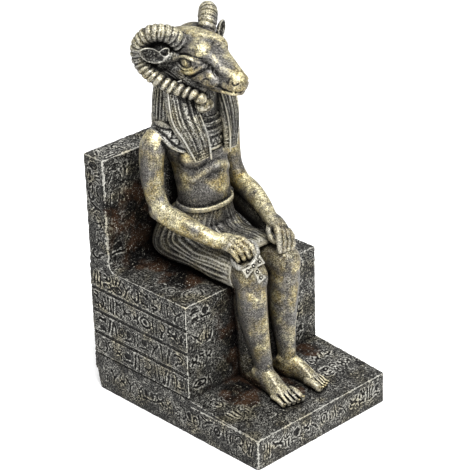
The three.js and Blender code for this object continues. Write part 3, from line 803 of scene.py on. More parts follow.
def head():
    clay = Clay(*HEAD_BOX, HEAD_CELL)
    clay.add(sweep(NECK, rows=40, sides=60, domes=(False, False)), flesh=0.3)
    clay.add(sweep(SKULL, rows=110, sides=90), blend=1, flesh=1)
    clay.add(sweep(JAW, rows=60, sides=70), blend=2.0, flesh=1)
    add_face(clay)
    add_nose(clay)
    add_mouth(clay)
    add_eyes(clay)
    clay.raise_by(*HAIR_BOX, hair_strokes)
    clay.add(mirrored(pebble(*LUMP)), blend=1.2, flesh=0.5)
    add_side_hair(clay)
    add_wig(clay)
    add_ears(clay)
    clay.raise_by(*LUMP_BOX, lambda points: 0.35 * noise(points, 1.6))
    clay.add([mirrored(horn()), horn(FAR_HORN_SHIFT)], blend=0.4, flesh=0.5)
    return sculpted("figurine_head", clay, head_marks)


# Body

BODY_BOX = ((-42, -40, 78), (42, 53, 180))
TORSO = [
    (0, 24, 106, 16.0, 12.4, 2.3),
    (0, 24, 121, 16.0, 12.0, 2.3),
    (0, 25.5, 133, 16.2, 12.4, 2.3),
    (0, 28.2, 146, 17.2, 13.8, 2.4),
    (0, 31.4, 157, 25, 13.8, 2.3),
    (0, 34, 167, 23, 11, 2),
    (0, 33, 175, 12, 11, 2),
]
CHEST = (((8.6, 21.8, 150.8), (10.4, 7.9, 9.4), (-8, 0, -10), 1.0),)
BELLY = (0, 17.4, 127.4)
BELLY_SIZE = (11.5, 6.2, 9.6)
RIB_ARCH = [(13, 18.6, 136, 1.2, 1.2), (6.5, 15.2, 140.4, 1.7, 1.5), (0, 14.3, 142, 1.4, 1.4)]
BREASTBONE = [(0, 13.2, 152, 0.5, 0.6), (0, 11.6, 144, 0.3, 0.4)]
NAVEL = (0, 10.6, 129.0)
NAVEL_SIZE = (0.8, 1.0, 0.9)
# Joins the torso to the slab behind it
BACK_WEB = [(0, 50, 84, 12, 8, 4), (0, 50, 166, 12, 8, 4)]


def add_torso(clay):
    clay.add(sweep(TORSO, rows=90, sides=90, domes=(False, False)), flesh=1)
    clay.add_forms(CHEST)
    clay.add(pebble(BELLY, BELLY_SIZE), blend=2.2, flesh=1)
    clay.add(both(sweep(RIB_ARCH, rows=30, sides=20)), blend=3.0, flesh=1)
    clay.cut(sweep(BREASTBONE, rows=30, sides=16), blend=1.5)
    clay.cut(pebble(NAVEL, NAVEL_SIZE), blend=0.6)
    clay.add(sweep(BACK_WEB, rows=40, sides=40, domes=(False, False)), blend=3)


# Collar: COLLAR is z, y, half width and half depth from the chest up. Its bands run round the neck.

COLLAR = [
    (150.2, 31, 27.0, 16.8),
    (152, 31, 28.4, 17.6),
    (162, 32, 29, 18.6),
    (170.5, 32.6, 19, 18.6),
    (172.5, 32, 14, 16.4),
]
COLLAR_ROUNDNESS = 1.7
COLLAR_BOX = ((-42, 8, 146), (42, 53, 180))
COLLAR_CENTRE_Z = 178
COLLAR_WIDE = 28.4
COLLAR_HIGH = 26
COLLAR_POWER = 3.6
BAND_LINES = (0.24, 0.29, 0.34, 0.48, 0.70, 0.93)
FINE_BAND_LINES = (0.52, 0.735, 0.98)
TICK_BAND = 0.41
TICKS = 22
DOT_BAND = 0.60
TRIANGLE_BAND = 0.755
TRIANGLES = 6.5


def collar_place(points):
    """0 at the neck's centre, 1 at the collar's lower edge"""
    x, z = np.abs(points[..., 0]), points[..., 2]
    wide = (x / COLLAR_WIDE) ** COLLAR_POWER
    high = (np.abs(z - COLLAR_CENTRE_Z) / COLLAR_HIGH) ** COLLAR_POWER
    return (wide + high) ** (1 / COLLAR_POWER)


def collar_lines(points):
    """The cut lines of the collar's bands: plain with ticks, dots, triangles and a double border"""
    place = collar_place(points)
    angle = np.arctan2(points[..., 0], COLLAR_CENTRE_Z - points[..., 2])
    lines = sum(bump(place, at, 0.024) for at in BAND_LINES)
    fine = sum(bump(place, at, 0.013) for at in FINE_BAND_LINES)
    ticks = groove(angle * TICKS, 0.2) * bump(place, TICK_BAND, 0.05)
    phase = angle * TRIANGLES
    saw = np.abs(phase - np.round(phase)) * 2
    triangle = bump((place - TRIANGLE_BAND) / 0.155, saw * 0.9, 0.14)
    triangle = triangle * ease(place, 0.74, 0.76) * ease(place, 0.92, 0.90)
    dots = groove(phase * 1.5 + 0.5, 0.13) * bump(place, DOT_BAND, 0.03)
    below_wig = ease(points[..., 1], 46, 42) * ease(place, 1.0, 0.99)
    return below_wig * np.minimum(lines + 0.7 * fine + 0.6 * ticks + triangle + dots, 1)


def collar_bands(points):
    return 0.3 * ease(collar_place(points), 1.01, 0.99) - 0.6 * collar_lines(points)


def collar_marks(points):
    """Dark in the collar's cut lines and pale beside them, for the parts of the body that are collar"""
    cut = collar_lines(points)
    open_collar = (collar_place(points) < 1) & (points[:, 2] > 150)
    return np.where(open_collar & (cut > 0.03), 0.7 * (1 - cut), NO_STROKE)


def collar_shape():
    keys = [(0, y, z, across, depth, COLLAR_ROUNDNESS) for z, y, across, depth in COLLAR]
    row = spline(keys, np.linspace(0, 1, 60))
    return level_rings(row[:, :3], row[:, 3], row[:, 4], row[:, 5], 120)


def add_collar(clay):
    """The collar is shaped by itself, cut off below its edge and laid over the chest. Gives back where it is
    and how far each cell there is from the neck's centre."""
    collar = Clay(*COLLAR_BOX, BODY_CELL)
    collar.add(collar_shape(), blend=0.1)
    place, points = collar.cells(*COLLAR_BOX)
    out = collar_place(points)
    collar.value[place] = np.maximum(collar.value[place], (out - 1) * COLLAR_HIGH * 0.8)
    window = tuple(slice(a, a + n) for a, n in zip(collar.first - clay.first, collar.value.shape))
    clay.value[window] = np.minimum(clay.value[window], collar.value)
    return window, out


# Arms and hands: each joint of the fingers is given for the first and for the last of the four

UPPER_ARM = [
    (25.6, 34.2, SHOULDER_Z + 3.4, 6.2, 6.8),
    (28.8, 34.4, SHOULDER_Z - 5, 6.9, 7.3),
    (29.6, 34.2, SHOULDER_Z - 17, 6.4, 6.9),
    (29.8, 32.0, SHOULDER_Z - 29, 5.7, 6.1),
    (*ELBOW, 5.6, 6.0),
]
FOREARM = [
    (ELBOW[0], ELBOW[1] + 1, ELBOW[2] - 0.3, 5.5, 5.9),
    (28, 15, 116.0, 5.9, 6.2),
    (25, 3.6, 112.8, 5.2, 5.2),
    (*WRIST, 4.4, 4),
]
SHOULDER_CAPS = (((28.8, 34.0, 155.6), (6.3, 7.5, 9.0), (0, 0, 0), 1.5),)
ELBOW_TIPS = (((30.0, 31.6, 118.4), (4.3, 3.8, 4.2), (0, 0, 0), 2.0),)

# The right hand lies over the loop of the ankh and rests on the thigh
RIGHT_PALM = [
    (-WRIST[0], WRIST[1], WRIST[2], 4.4, 4),
    (-18.0, -10.8, 109.4, 5.4, 3.8),
    (-16.8, -14.8, 108.8, 5.8, 3.4),
]
RIGHT_FINGERS = (
    ((-12.6, -14.0, 110.4), (-20.8, -12.8, 107.4)),
    ((-11.8, -18.6, 110.4), (-20.0, -16.8, 107.0)),
    ((-11.4, -24.6, 108.4), (-19.6, -20.4, 104.8)),
    ((-11.4, -28.0, 104.2), (-18.8, -22.2, 101.2)),
)
RIGHT_THUMB = ((-12.4, -9.5, 108.2), (-10.4, -14.6, 107.0), (-10.2, -18.6, 105.8), (-11.2, -21.6, 104.6))

# The left hand lies over the knee, its fingers spread down over the front of it
LEFT_PALM = [
    (*WRIST, 4.4, 4),
    (19.0, -12.6, 108.8, 5.8, 4.4),
    (17.4, -17.6, 107.4, 6.2, 4.2),
]
LEFT_FINGERS = (
    ((14.4, -17.4, 109.0), (20.8, -21.8, 105.4)),
    ((11.8, -22.4, 108.6), (19.6, -25.4, 104.0)),
    ((8.0, -27.2, 105.0), (17.0, -28.8, 101.4)),
    ((6.2, -29.4, 100.6), (14.6, -30.6, 99.4)),
)
LEFT_THUMB = ((16.0, -12.2, 108.6), (10.8, -16.4, 107.4), (8.0, -20.8, 105.0), (7.6, -24.2, 103.8))


def add_arms(clay):
    clay.add(both(sweep(UPPER_ARM, rows=70, sides=60)), blend=0.9, flesh=1)
    clay.add_forms(SHOULDER_CAPS)
    clay.add(both(sweep(FOREARM, rows=70, sides=60, domes=(True, False))), blend=1.2, flesh=1)
    clay.add_forms(ELBOW_TIPS)


def add_finger(clay, joints, radius, flesh):
    """A finger that grows thinner to its tip, with a knob at each joint between"""
    keys = [(*at, radius * (1 - 0.09 * i), radius * (1 - 0.09 * i)) for i, at in enumerate(joints)]
    clay.add(sweep(keys, rows=36, sides=28, hint=(1, 0.2, 0.1)), blend=0.35, flesh=flesh)
    for i, at in enumerate(joints[1:-1]):
        clay.add(pebble(at, (radius * (1.0 - 0.06 * i),) * 3), blend=0.5, flesh=flesh)


def add_hand(clay, palm, across, fingers, finger_radius, thumb, thumb_radius, flesh):
    clay.add(sweep(palm, rows=30, sides=50, hint=across), blend=1, flesh=0.6)
    for i in range(4):
        joints = [between(pair, i / 3) for pair in fingers]
        add_finger(clay, joints, finger_radius * (1 - 0.04 * i), flesh)
    add_finger(clay, thumb, thumb_radius, flesh)


# Kilt: KILT is y, z, forward turn in degrees, half width, half depth and roundness, from the waist to the hem

KILT = [
    (24, BELT_Z, 0, 16.2, 12.4, 2.3),
    (31.6, 105.5, 12, 20.6, 20.4, 2.5),
    (32.4, 94.4, 32, 23, 24.4, 2.6),
    (13, 92, 66, 23.4, 13, 2.3),
    (-4, 91.4, 86, 22.8, 11.8, 2.8),
    (-18.4, 91, 91, 21.4, 10.8, 3),
]
KILT_ROWS = 150
KILT_SIDES = 720
PLEATS = 36
# Taken away, so that the hem hangs over the legs
UNDER_HEM = [(0, -26, 90.4, 19.8, 10.2, 3), (0, -11, 90.4, 19.8, 10.2, 3)]
# Fills the gap between the left forearm and the thigh under it
ARM_WEB = [(28.5, 27, 108, 3.2, 9), (27, 16, 106, 3.4, 9), (24.5, 4, 103, 3.2, 8.5), (21, -6, 101, 3, 6)]
BELT_Y = 23.6
BELT_ACROSS = 16.4
BELT_DEEP = 12.6
BELT_ROUNDNESS = 2.3


def kilt():
    t = np.linspace(0, 1, KILT_ROWS)
    y, z, turn, across, depth, power = spline(KILT, t).T
    turn = np.radians(turn)
    nothing = np.zeros_like(y)
    at = np.stack([nothing, y, z], -1)
    side = np.broadcast_to((1.0, 0, 0), at.shape)
    deep = np.stack([nothing, np.cos(turn), -np.sin(turn)], -1)
    t = t[:, None]
    u = np.arange(KILT_SIDES)[None, :] / KILT_SIDES
    phase = u * PLEATS + 0.25 + 0.22 * np.sin(u * 61) + 0.06 * np.sin(t * 19 + u * 40)
    pleats = 0.2 - 1.0 * groove(phase, 0.12) - 0.6 * groove(phase * 2 + 0.5, 0.14)
    relief = pleats * (1 - ease(t, 0.97, 0.98)) + 0.35 * ease(t, 0.975, 0.985)
    return skin(ring_points(at, side, deep, across, depth, power, KILT_SIDES, relief))


def belt():
    top, low = BELT_Z + BELT_HEIGHT / 2, BELT_Z - BELT_HEIGHT / 2
    levels = np.array([low, low + 0.1, low + 0.5, BELT_Z, top - 0.5, top - 0.1, top])
    grow = np.array([0, 0.7, 0.9, 0.95, 0.9, 0.7, 0])
    at = np.stack([0 * levels, BELT_Y + 0 * levels, levels], -1)
    roundness = np.full(len(levels), BELT_ROUNDNESS)
    return level_rings(at, BELT_ACROSS + grow, BELT_DEEP + grow, roundness, 120)


def body():
    clay = Clay(*BODY_BOX, BODY_CELL)
    add_torso(clay)
    clay.add(kilt(), blend=0.4, flesh=0.22)
    clay.cut(sweep(UNDER_HEM, rows=20, sides=60, domes=(False, False)), blend=0.3)
    clay.add(sweep(ARM_WEB, rows=40, sides=40), blend=1.5)
    clay.add(belt(), blend=0.3, flesh=0.6)
    window, out = add_collar(clay)
    add_arms(clay)
    clay.raise_by(*COLLAR_BOX, collar_bands)
    clay.flesh[window] *= ease(out, 0.98, 1.01)
    add_hand(clay, RIGHT_PALM, (1, 0, 0.3), RIGHT_FINGERS, 2.0, RIGHT_THUMB, 1.8, 0.65)
    add_hand(clay, LEFT_PALM, (1, -0.95, -0.8), LEFT_FINGERS, 2.2, LEFT_THUMB, 1.9, 0.35)
    return sculpted("figurine_body", clay, collar_marks)


# Legs and feet

LEGS_BOX = ((-30, -62, 14), (30, 6, 104))
THIGH = [(12, -4, 91, 9.4, 9.4), (KNEE[0] - 0.4, -16, 91, 9, 9.4), (*KNEE, 8.8, 9)]
SHIN = [
    (KNEE[0], KNEE[1] - 0.5, 92, 8.5, 8.4),
    (KNEE[0], -26, 80, 8.3, 8.8),
    (11.8, -25.6, 66, 7.8, 8.8),
    (10.4, -27.6, 50, 6.2, 7),
    (*ANKLE, 4.9, 5.6),
    (ANKLE[0], ANKLE[1], 24, 5, 6.6),
]
SHIN_RIDGE = [
    (12.6, -33.0, 82, 1.6, 1.6),
    (11.2, -32.6, 66, 1.5, 1.6),
    (9.8, -32.6, 50, 1.2, 1.4),
    (9.2, -34.0, 38, 1.0, 1.0),
]
KNEE_CAPS = (((KNEE[0] - 0.2, -31.2, 91.0), (5.4, 4.6, 6.4), (0, 0, 0), 2.5),)
ANKLE_BONES = (
    ((ANKLE[0] + 4.0, -27.4, 31), (1.7, 2.3, 2.4), (0, 0, 0), 2.5),
    ((ANKLE[0] - 4.4, -28.4, 32), (1.8, 2.2, 2.2), (0, 0, 0), 1.5),
)
# Joins the calves to the throne behind them
CALF_WEB = [(12, -16, 84, 4.6, 5), (11, -17, 56, 3.8, 6.6), (9.6, -18, 18, 3.2, 7.4)]


def add_leg(clay):
    clay.add(both(sweep(THIGH, rows=50, sides=60)), blend=1, flesh=1)
    clay.add(both(sweep(SHIN, rows=120, sides=60)), blend=2, flesh=1)
    clay.add_forms(KNEE_CAPS)
    clay.add(both(sweep(SHIN_RIDGE, rows=50, sides=24)), blend=3, flesh=1)
    clay.add_forms(ANKLE_BONES)
    clay.add(both(sweep(CALF_WEB, rows=60, sides=30, domes=(False, False))), blend=2.5)


# Sizes of the right foot, as if it stood on the left. The great toe comes first.
FOOT = [
    (ANKLE[0], -22.5, 25.0, 4.6, 5.6),
    (9.8, -33, 27.0, 5.2, 7.2),
    (10.7, -43, 24.0, 5.9, 5.0),
    (11.0, -49, 22.2, 6.7, 3.4),
]
# Where the middles of the feet lie, and how much narrower the left one is
FOOT_X = 10.9
LEFT_FOOT_X = 12.2
LEFT_FOOT_WIDTH = 0.8
TENDON_LEANS = (-1.6, 0.2, 2.0)
TOE_BACK = (0, 0.2, 0.7, 1.5, 2.6)
TOE_RADIUS = (2.3, 1.65, 1.6, 1.55, 1.5)
TOE_PITCH = 2.9
TOE_Z = 20


def two_feet(mesh):
    """A shape of the right foot and the same for the left, which is narrower"""
    points = mesh[0].copy()
    forward = ease(-points[:, 1], 28, 44)
    narrow = LEFT_FOOT_X + (points[:, 0] - FOOT_X) * LEFT_FOOT_WIDTH
    points[:, 0] += (narrow - points[:, 0]) * forward
    return [mirrored(mesh), (points,) + mesh[1:]]


def tendon(lean):
    keys = [
        (10 + 0.5 * lean, -35, 32.6, 0.5, 0.5),
        (10.6 + lean, -43, 28.6, 0.7, 0.7),
        (10.9 + 1.5 * lean, -49, 25.4, 0.5, 0.5),
    ]
    return sweep(keys, rows=30, sides=16)


def toe(x, back, radius):
    low = TOE_Z + radius
    keys = [
        (x, -47.5 + back, low + 1.6, radius, radius),
        (x + 0.2, -52 + back, low + 1.4, radius, radius),
        (x + 0.4, -56.2 + back, low - 0.2, radius * 0.95, radius * 0.9),
    ]
    return sweep(keys, rows=40, sides=28)


def toe_knuckle(x, back, radius):
    return pebble((x + 0.2, -52.6 + back, TOE_Z + radius + 1.2), (radius * 0.92, radius, radius * 0.95))


def toe_gap(x, back):
    keys = [
        (x, -49.6 + back, 25.2, 0.3, 0.5),
        (x + 0.2, -53 + back, 23.4, 0.5, 1.3),
        (x + 0.3, -58 + back, 21.4, 0.5, 1.6),
    ]
    return sweep(keys, rows=30, sides=20)


def toenail(x, back, radius):
    at = (x, -57.4 + back, TOE_Z + radius * 1.66)
    return pebble(at, (radius * 0.62, radius * 0.75, 0.6), (-24, 0, 0))


def add_foot(clay):
    clay.add(two_feet(sweep(FOOT, rows=60, sides=50)), blend=2, flesh=0.65)
    for lean in TENDON_LEANS:
        clay.add(two_feet(tendon(lean)), blend=1.6, flesh=1)
    toes = list(enumerate(zip(TOE_BACK, TOE_RADIUS)))
    for i, (back, radius) in toes:
        clay.add(two_feet(toe(5.4 + i * TOE_PITCH, back, radius)), blend=0.25, flesh=0.6)
        clay.add(two_feet(toe_knuckle(5.4 + i * TOE_PITCH, back, radius)), blend=0.4, flesh=0.6)
    for i, back in enumerate(TOE_BACK[1:]):
        clay.cut(two_feet(toe_gap(5.6 + (i + 0.5) * TOE_PITCH, back)), blend=0.2, bare=False)
    for i, (back, radius) in toes:
        clay.add(two_feet(toenail(5.8 + i * TOE_PITCH, back, radius)), blend=0.15, flesh=1)


def legs():
    clay = Clay(*LEGS_BOX, LEGS_CELL)
    add_leg(clay)
    add_foot(clay)
    # Painted shade: under the kilt's hem the tops of the knees and the thighs lose most of their gold and
    # turn a darker grey
    heights = (np.arange(clay.value.shape[2]) + clay.first[2]) * clay.cell
    clay.flesh *= 1 - 0.6 * ease(heights, 88, 99).astype(np.float32)
    return sculpted("figurine_legs", clay)


# Ankh: a loop that lies under the fingers, two arms and a stem that hang over the knee, with ringed dots

ANKH_CENTRE = np.array((-16.6, -31.2, 100.2))
ANKH_ACROSS = unit((0.96, 0, 0.27))
ANKH_LEAN = np.array((-0.24, 0.5, 0.83))
ANKH_UP = unit(ANKH_LEAN - ANKH_ACROSS * (ANKH_LEAN @ ANKH_ACROSS))
ANKH_OUT = np.cross(ANKH_ACROSS, ANKH_UP)
ANKH_ROOM = 22
ANKH_HALF_THICK = 1.1
ANKH_ARM = 7.3
ANKH_STEM = 9.4
# Ends and dots: how far across and up they lie from where the arms meet
ANKH_LIMBS = ((ANKH_ARM, 0), (-ANKH_ARM, 0), (0, -ANKH_STEM))
ANKH_DOTS = ((0, 0.2), (ANKH_ARM - 2.4, 0), (2.4 - ANKH_ARM, 0), (0, -3.6), (0, 2.0 - ANKH_STEM))
DOT_RING = 1.15
DOT_CORE = 0.7
LOOP_CENTRE = (-13.5, -22.0, 103.0)
LOOP_LONG = (-3.1, -8.0, -2.2)
LOOP_WIDE = (6.7, -1.4, 3.5)
LOOP_TUBE = 1.6
# How much of the stains and painted shade it takes, less than the figure, as it is rubbed more
ANKH_STAIN_AND_SHADE = 0.2


def ankh_spot(across, up, out=0.0):
    return ANKH_CENTRE + ANKH_ACROSS * across + ANKH_UP * up + ANKH_OUT * out


def ankh_limb(across, up):
    """A flat bar from the centre that widens to its end"""
    near, far = ankh_spot(0, 0), ankh_spot(across, up)
    keys = [
        (*near, ANKH_HALF_THICK, 1.5, 6),
        (*(near * 0.4 + far * 0.6), ANKH_HALF_THICK, 2.1, 6),
        (*far, ANKH_HALF_THICK, 2.9, 6),
    ]
    return sweep(keys, rows=40, sides=60, hint=ANKH_OUT, domes=(False, False))


def ankh():
    clay = Clay(ANKH_CENTRE - ANKH_ROOM, ANKH_CENTRE + ANKH_ROOM, ANKH_CELL)
    for across, up in ANKH_LIMBS:
        clay.add(ankh_limb(across, up), blend=0.3, flesh=0.2)
    clay.add(hoop(LOOP_CENTRE, LOOP_LONG, LOOP_WIDE, 0, 360, LOOP_TUBE), blend=0.3)
    for across, up in ANKH_DOTS:
        centre = ankh_spot(across, up, ANKH_HALF_THICK)
        clay.cut(pebble(centre, (DOT_RING,) * 3), blend=0.2)
        clay.add(pebble(centre - ANKH_OUT * 0.35, (DOT_CORE,) * 3), blend=0.1)
    return sculpted("figurine_ankh", clay, stain_and_shade_share=ANKH_STAIN_AND_SHADE)


# Throne, slab and base: blocks whose faces are fine nets of points, moved in and out by their carving

FACES = ((0, -1), (0, 1), (1, -1), (1, 1), (2, -1), (2, 1))
UNDERSIDE = (2, -1)
TOP = (2, 1)
# Which coordinates run along each pair of faces and up it. On the slab's sides the rows run upwards.
FACE_PLANES = {0: (1, 2), 1: (0, 2), 2: (0, 1)}
SLAB_PLANES = {0: (2, 1), 1: (0, 2), 2: (0, 1)}
# Painted shade on the flat sides: how much darker they are made, and how much wider the dark stands in their
# strokes
SIDE_PAINTED_SHADE = 0.09
SIDE_STROKE_SHADE = 0.16
# How much more the finish shows on flat stone than on the clay's rounder forms
STONE_CONTRAST = 1.4


def block_net(axes):
    """The points on the outside of a lattice, and for each face the numbers of its points in rows"""
    counts = [len(line) for line in axes]
    nets = []
    for axis, sign in FACES:
        place = [None] * 3
        a, b = [k for k in range(3) if k != axis]
        place[a], place[b] = np.meshgrid(np.arange(counts[a]), np.arange(counts[b]), indexing="ij")
        place[axis] = np.full(place[a].shape, 0 if sign < 0 else counts[axis] - 1)
        nets.append((place[0] * counts[1] + place[1]) * counts[2] + place[2])
    every = np.unique(np.concatenate([net.ravel() for net in nets]))
    points = np.stack([
        axes[0][every // (counts[1] * counts[2])],
        axes[1][every // counts[2] % counts[1]],
        axes[2][every % counts[2]],
    ], -1)
    return points, [np.searchsorted(every, net) for net in nets]


def cover(rows, start, sign):
    """One flat face over all of a net from the line start on"""
    last, end = rows.shape[0] - 1, rows.shape[1] - 1
    loop = [rows[i, start] for i in range(last)] + [rows[last, j] for j in range(start, end)]
    loop += [rows[i, end] for i in range(last, 0, -1)] + [rows[0, j] for j in range(end, start, -1)]
    return [int(v) for v in (loop if sign > 0 else loop[::-1])]


def net_block(name, axes, draw, planes=FACE_PLANES, reshape=None, covered_from=None):
    """A closed block over three lists of lattice lines.

    draw(face, axis, sign, points) puts the strokes on a face, and gives how coarse its grit is, how much of
    its relief shows and how far its edges are worn in. reshape moves the plain block's points into its true
    outline. The underside stays flat, and so does the top behind covered_from, where another piece stands."""
    plain, nets = block_net(axes)
    if reshape:
        plain = reshape(plain)
    covered = {UNDERSIDE: 0}
    if covered_from is not None:
        covered[TOP] = int(np.argmin(np.abs(axes[1] - covered_from)))
    moved = plain.copy()
    nothing = np.zeros(len(plain))
    fine = np.zeros(len(plain))
    stroke = np.full(len(plain), NO_STROKE)
    faces = []
    for (axis, sign), rows in zip(FACES, nets):
        points = plain[rows]
        face = Carving(*(points[..., k] for k in planes[axis]), points)
        relief = drop = np.zeros(rows.shape)
        if (axis, sign) != UNDERSIDE:
            coarse, shown, drop = draw(face, axis, sign, points)
            relief = (grit(points) * coarse + face.height()) * shown
        near = face.nearest()
        moved[rows.ravel(), axis] += sign * (relief + drop).ravel()
        around = relief - blurred(relief.astype(np.float32), 2) + 0.3 * ease(-drop, 0.05, 0.25)
        # Painted shade: the flat left and right sides are made darker, with wider dark strokes
        if axis == 0:
            around = around - SIDE_PAINTED_SHADE
            near = near - SIDE_STROKE_SHADE
        stroke[rows.ravel()] = np.minimum(stroke[rows.ravel()], near.ravel())
        fine[rows.ravel()] += around.ravel()
        keep = np.ones((rows.shape[0] - 1, rows.shape[1] - 1), dtype=bool)
        if (axis, sign) in covered:
            keep[:, covered[axis, sign]:] = False
            faces.append(cover(rows, covered[axis, sign], sign))
        quads = np.stack([rows[:-1, :-1], rows[1:, :-1], rows[1:, 1:], rows[:-1, 1:]], -1)[keep]
        if (axis == 1) == (sign > 0):
            quads = quads[:, ::-1]
        faces += quads.tolist()
    return thinned(mesh_object(name, moved, faces, {
        "fine": fine * STONE_CONTRAST,
        "broad": nothing,
        "flesh": nothing,
        "soot": soot(moved),
        "stroke": stroke,
    }))


def lines_between(stops, step):
    """Lattice lines through all the stops, about a step apart"""
    parts = [np.array([stops[0]], dtype=float)]
    for low, high in zip(stops[:-1], stops[1:]):
        count = max(1, round((high - low) / step))
        parts.append(np.linspace(low, high, count + 1)[1:])
    return np.concatenate(parts)


# Marks: rows of shallow strokes that are no letters. Each mark is a few arcs, bars and pits thrown together.

STROKE_DEPTH = 0.6
PIT_DEPTH = 0.4
LINE_DEPTH = 0.7
THIN_DEPTH = 0.3
RIM_HEIGHT = 0.12
STROKE_MARGIN = 2.5
NARROWEST_MARK = 2.5
SCRATCH_HALF_WIDTH = -0.1
LINE_GAP = 0.55


class Carving:
    """The strokes on one face, drawn over its net. a runs along the face and b up it, in mm.

    strokes, pits, lines and thin hold each point's distance from the nearest one, under 0 inside it."""

    def __init__(self, a, b, points):
        self.a = a + 0.45 * noise(points, 2.6) + 0.25 * noise(points + 20, 1.2)
        self.b = b + 0.45 * noise(points + 50, 2.6) + 0.25 * noise(points + 70, 1.2)
        self.true_b = b + 0.18 * noise(points, 6)
        self.strokes, self.pits, self.lines, self.thin = (np.full(a.shape, NO_STROKE) for _ in range(4))

    def draw(self, line, half_width, thin=False):
        """A stroke through the points"""
        line = np.asarray(line)
        low, high = line.min(0) - STROKE_MARGIN, line.max(0) + STROKE_MARGIN
        near = (self.a > low[0]) & (self.a < high[0]) & (self.b > low[1]) & (self.b < high[1])
        if not near.any():
            return
        a, b = self.a[near], self.b[near]
        drawn = self.thin if thin else self.strokes
        least = drawn[near]
        for (ax, ay), (bx, by) in zip(line[:-1], line[1:]):
            dx, dy = bx - ax, by - ay
            along = np.clip(((a - ax) * dx + (b - ay) * dy) / max(dx * dx + dy * dy, 1e-9), 0, 1)
            least = np.minimum(least, np.hypot(a - ax - along * dx, b - ay - along * dy) - half_width)
        drawn[near] = least

    def pit(self, middle, half_a, half_b):
        across = np.hypot((self.a - middle[0]) / half_a, (self.b - middle[1]) / half_b)
        self.pits = np.minimum(self.pits, (across - 1) * min(half_a, half_b))

    def arc(self, middle, half_a, half_b, start, span, half_width, thin=False):
        turns = np.radians(np.linspace(start, start + span, 12))
        line = [(middle[0] + half_a * math.cos(t), middle[1] + half_b * math.sin(t)) for t in turns]
        self.draw(line, half_width, thin)

    def mark(self, rng, middle, width, tall):
        """One of seven kinds of mark. u and v run from -1 to 1 over its box."""
        kind = rng.integers(7)
        thick = rng.uniform(0.05, 0.32)
        half_a, half_b = width / 2, tall / 2

        def at(u, v):
            return middle[0] + half_a * u, middle[1] + half_b * v

        def arc(u, v, wide, high, start, span):
            self.arc(at(u, v), half_a * wide, half_b * high, start, span, thick)

        def pit(u, v, wide, high):
            self.pit(at(u, v), half_a * wide, half_b * high)

        def bar(*ends):
            self.draw([at(*end) for end in ends], thick)

        if kind == 0:
            arc(0, 0, 1, rng.uniform(0.5, 0.9), 0, 360)
            pit(0, 0, 0.3, 0.25)
        elif kind == 1:
            for shift in np.linspace(-0.7, 0.7, int(rng.integers(2, 4))):
                lean = rng.uniform(-0.15, 0.15) * width
                (a, low), (_, high) = at(shift, -1), at(shift, 1)
                self.draw([(a - lean, low), (a + lean, high)], thick)
        elif kind == 2:
            arc(0, 0.35, 0.8, 0.6, rng.uniform(0, 90), 250)
            bar((0, -0.2), (rng.uniform(-1, 1), -1))
        elif kind == 3:
            pit(0, 0.2, 0.6, 0.45)
            bar((-1, -0.6), (1, -0.75))
        elif kind == 4:
            arc(-0.2, 0, 1, 1, rng.uniform(90, 200), 150)
            arc(0.4, -0.2, 0.6, 0.6, rng.uniform(0, 360), 200)
        elif kind == 5:
            bar((-1, 0.7), (0, -0.1), (1, 0.9))
            bar((0, -0.1), (rng.uniform(-0.8, 0.8), -1))
        else:
            arc(0, 0.45, 0.9, 0.4, 160, rng.uniform(160, 300))
            arc(0, -0.45, 0.9, 0.4, 20, rng.uniform(120, 220))

    def row(self, start, end, middle, height, seed):
        """Marks of mixed widths side by side, sometimes two small ones stacked"""
        rng = np.random.default_rng(seed)
        a = start
        while a < end - NARROWEST_MARK:
            width = min(height * rng.uniform(0.45, 1.1), end - a)
            centre = a + width / 2
            if rng.random() < 0.25:
                for shift in (-0.26, 0.26):
                    self.mark(rng, (centre, middle + shift * height), width * 0.8, height * 0.38)
            else:
                self.mark(rng, (centre, middle), width * 0.78, height * rng.uniform(0.7, 0.92))
            a += width

    def scratches(self, low, high, spacing, seed):
        """Short curved strokes thrown over a box of the face"""
        rng = np.random.default_rng(seed)
        low, high = np.asarray(low, dtype=float), np.asarray(high, dtype=float)
        for _ in range(int(np.prod(high - low) / spacing**2)):
            at = rng.uniform(low, high)
            size = rng.uniform(0.9, 2.6)
            tall = size * rng.uniform(0.4, 2.2)
            start, span = rng.uniform(0, 360), rng.uniform(40, 110)
            self.arc(at, size, tall, start, span, SCRATCH_HALF_WIDTH, thin=True)

    def line(self, value):
        """A double line the length of the face"""
        self.lines = np.minimum(self.lines, np.abs(self.true_b - value + LINE_GAP) - 0.12)
        self.lines = np.minimum(self.lines, np.abs(self.true_b - value - LINE_GAP) - 0.02)

    def nearest(self):
        wide = np.minimum(np.minimum(self.strokes, self.pits), self.lines)
        return np.where(self.thin < 0.3, np.minimum(wide, self.thin), wide)

    def height(self):
        near = self.nearest()
        carved = -STROKE_DEPTH * ease(-self.strokes, -0.5, 0.1) - PIT_DEPTH * ease(-self.pits, -0.5, 0.3)
        carved = np.maximum(carved, -STROKE_DEPTH * 1.15)
        carved = np.minimum(carved, -LINE_DEPTH * ease(-self.lines, -0.4, 0.05))
        carved = np.minimum(carved, -THIN_DEPTH * ease(-self.thin, -0.4, 0))
        return carved + RIM_HEIGHT * bump(near, 0.75, 0.35)


def grit(points):
    """Cast grit: thin raised scratches and fine grain"""
    thread = 1 - np.abs(noise(points, 1.9)) * 5
    other = 1 - np.abs(noise(points + 31, 1.5)) * 5
    grain = noise(points + 7, 0.75)
    return 0.17 * (np.clip(thread, 0, 1) + np.clip(other, 0, 1)) + 0.09 * grain - 0.07


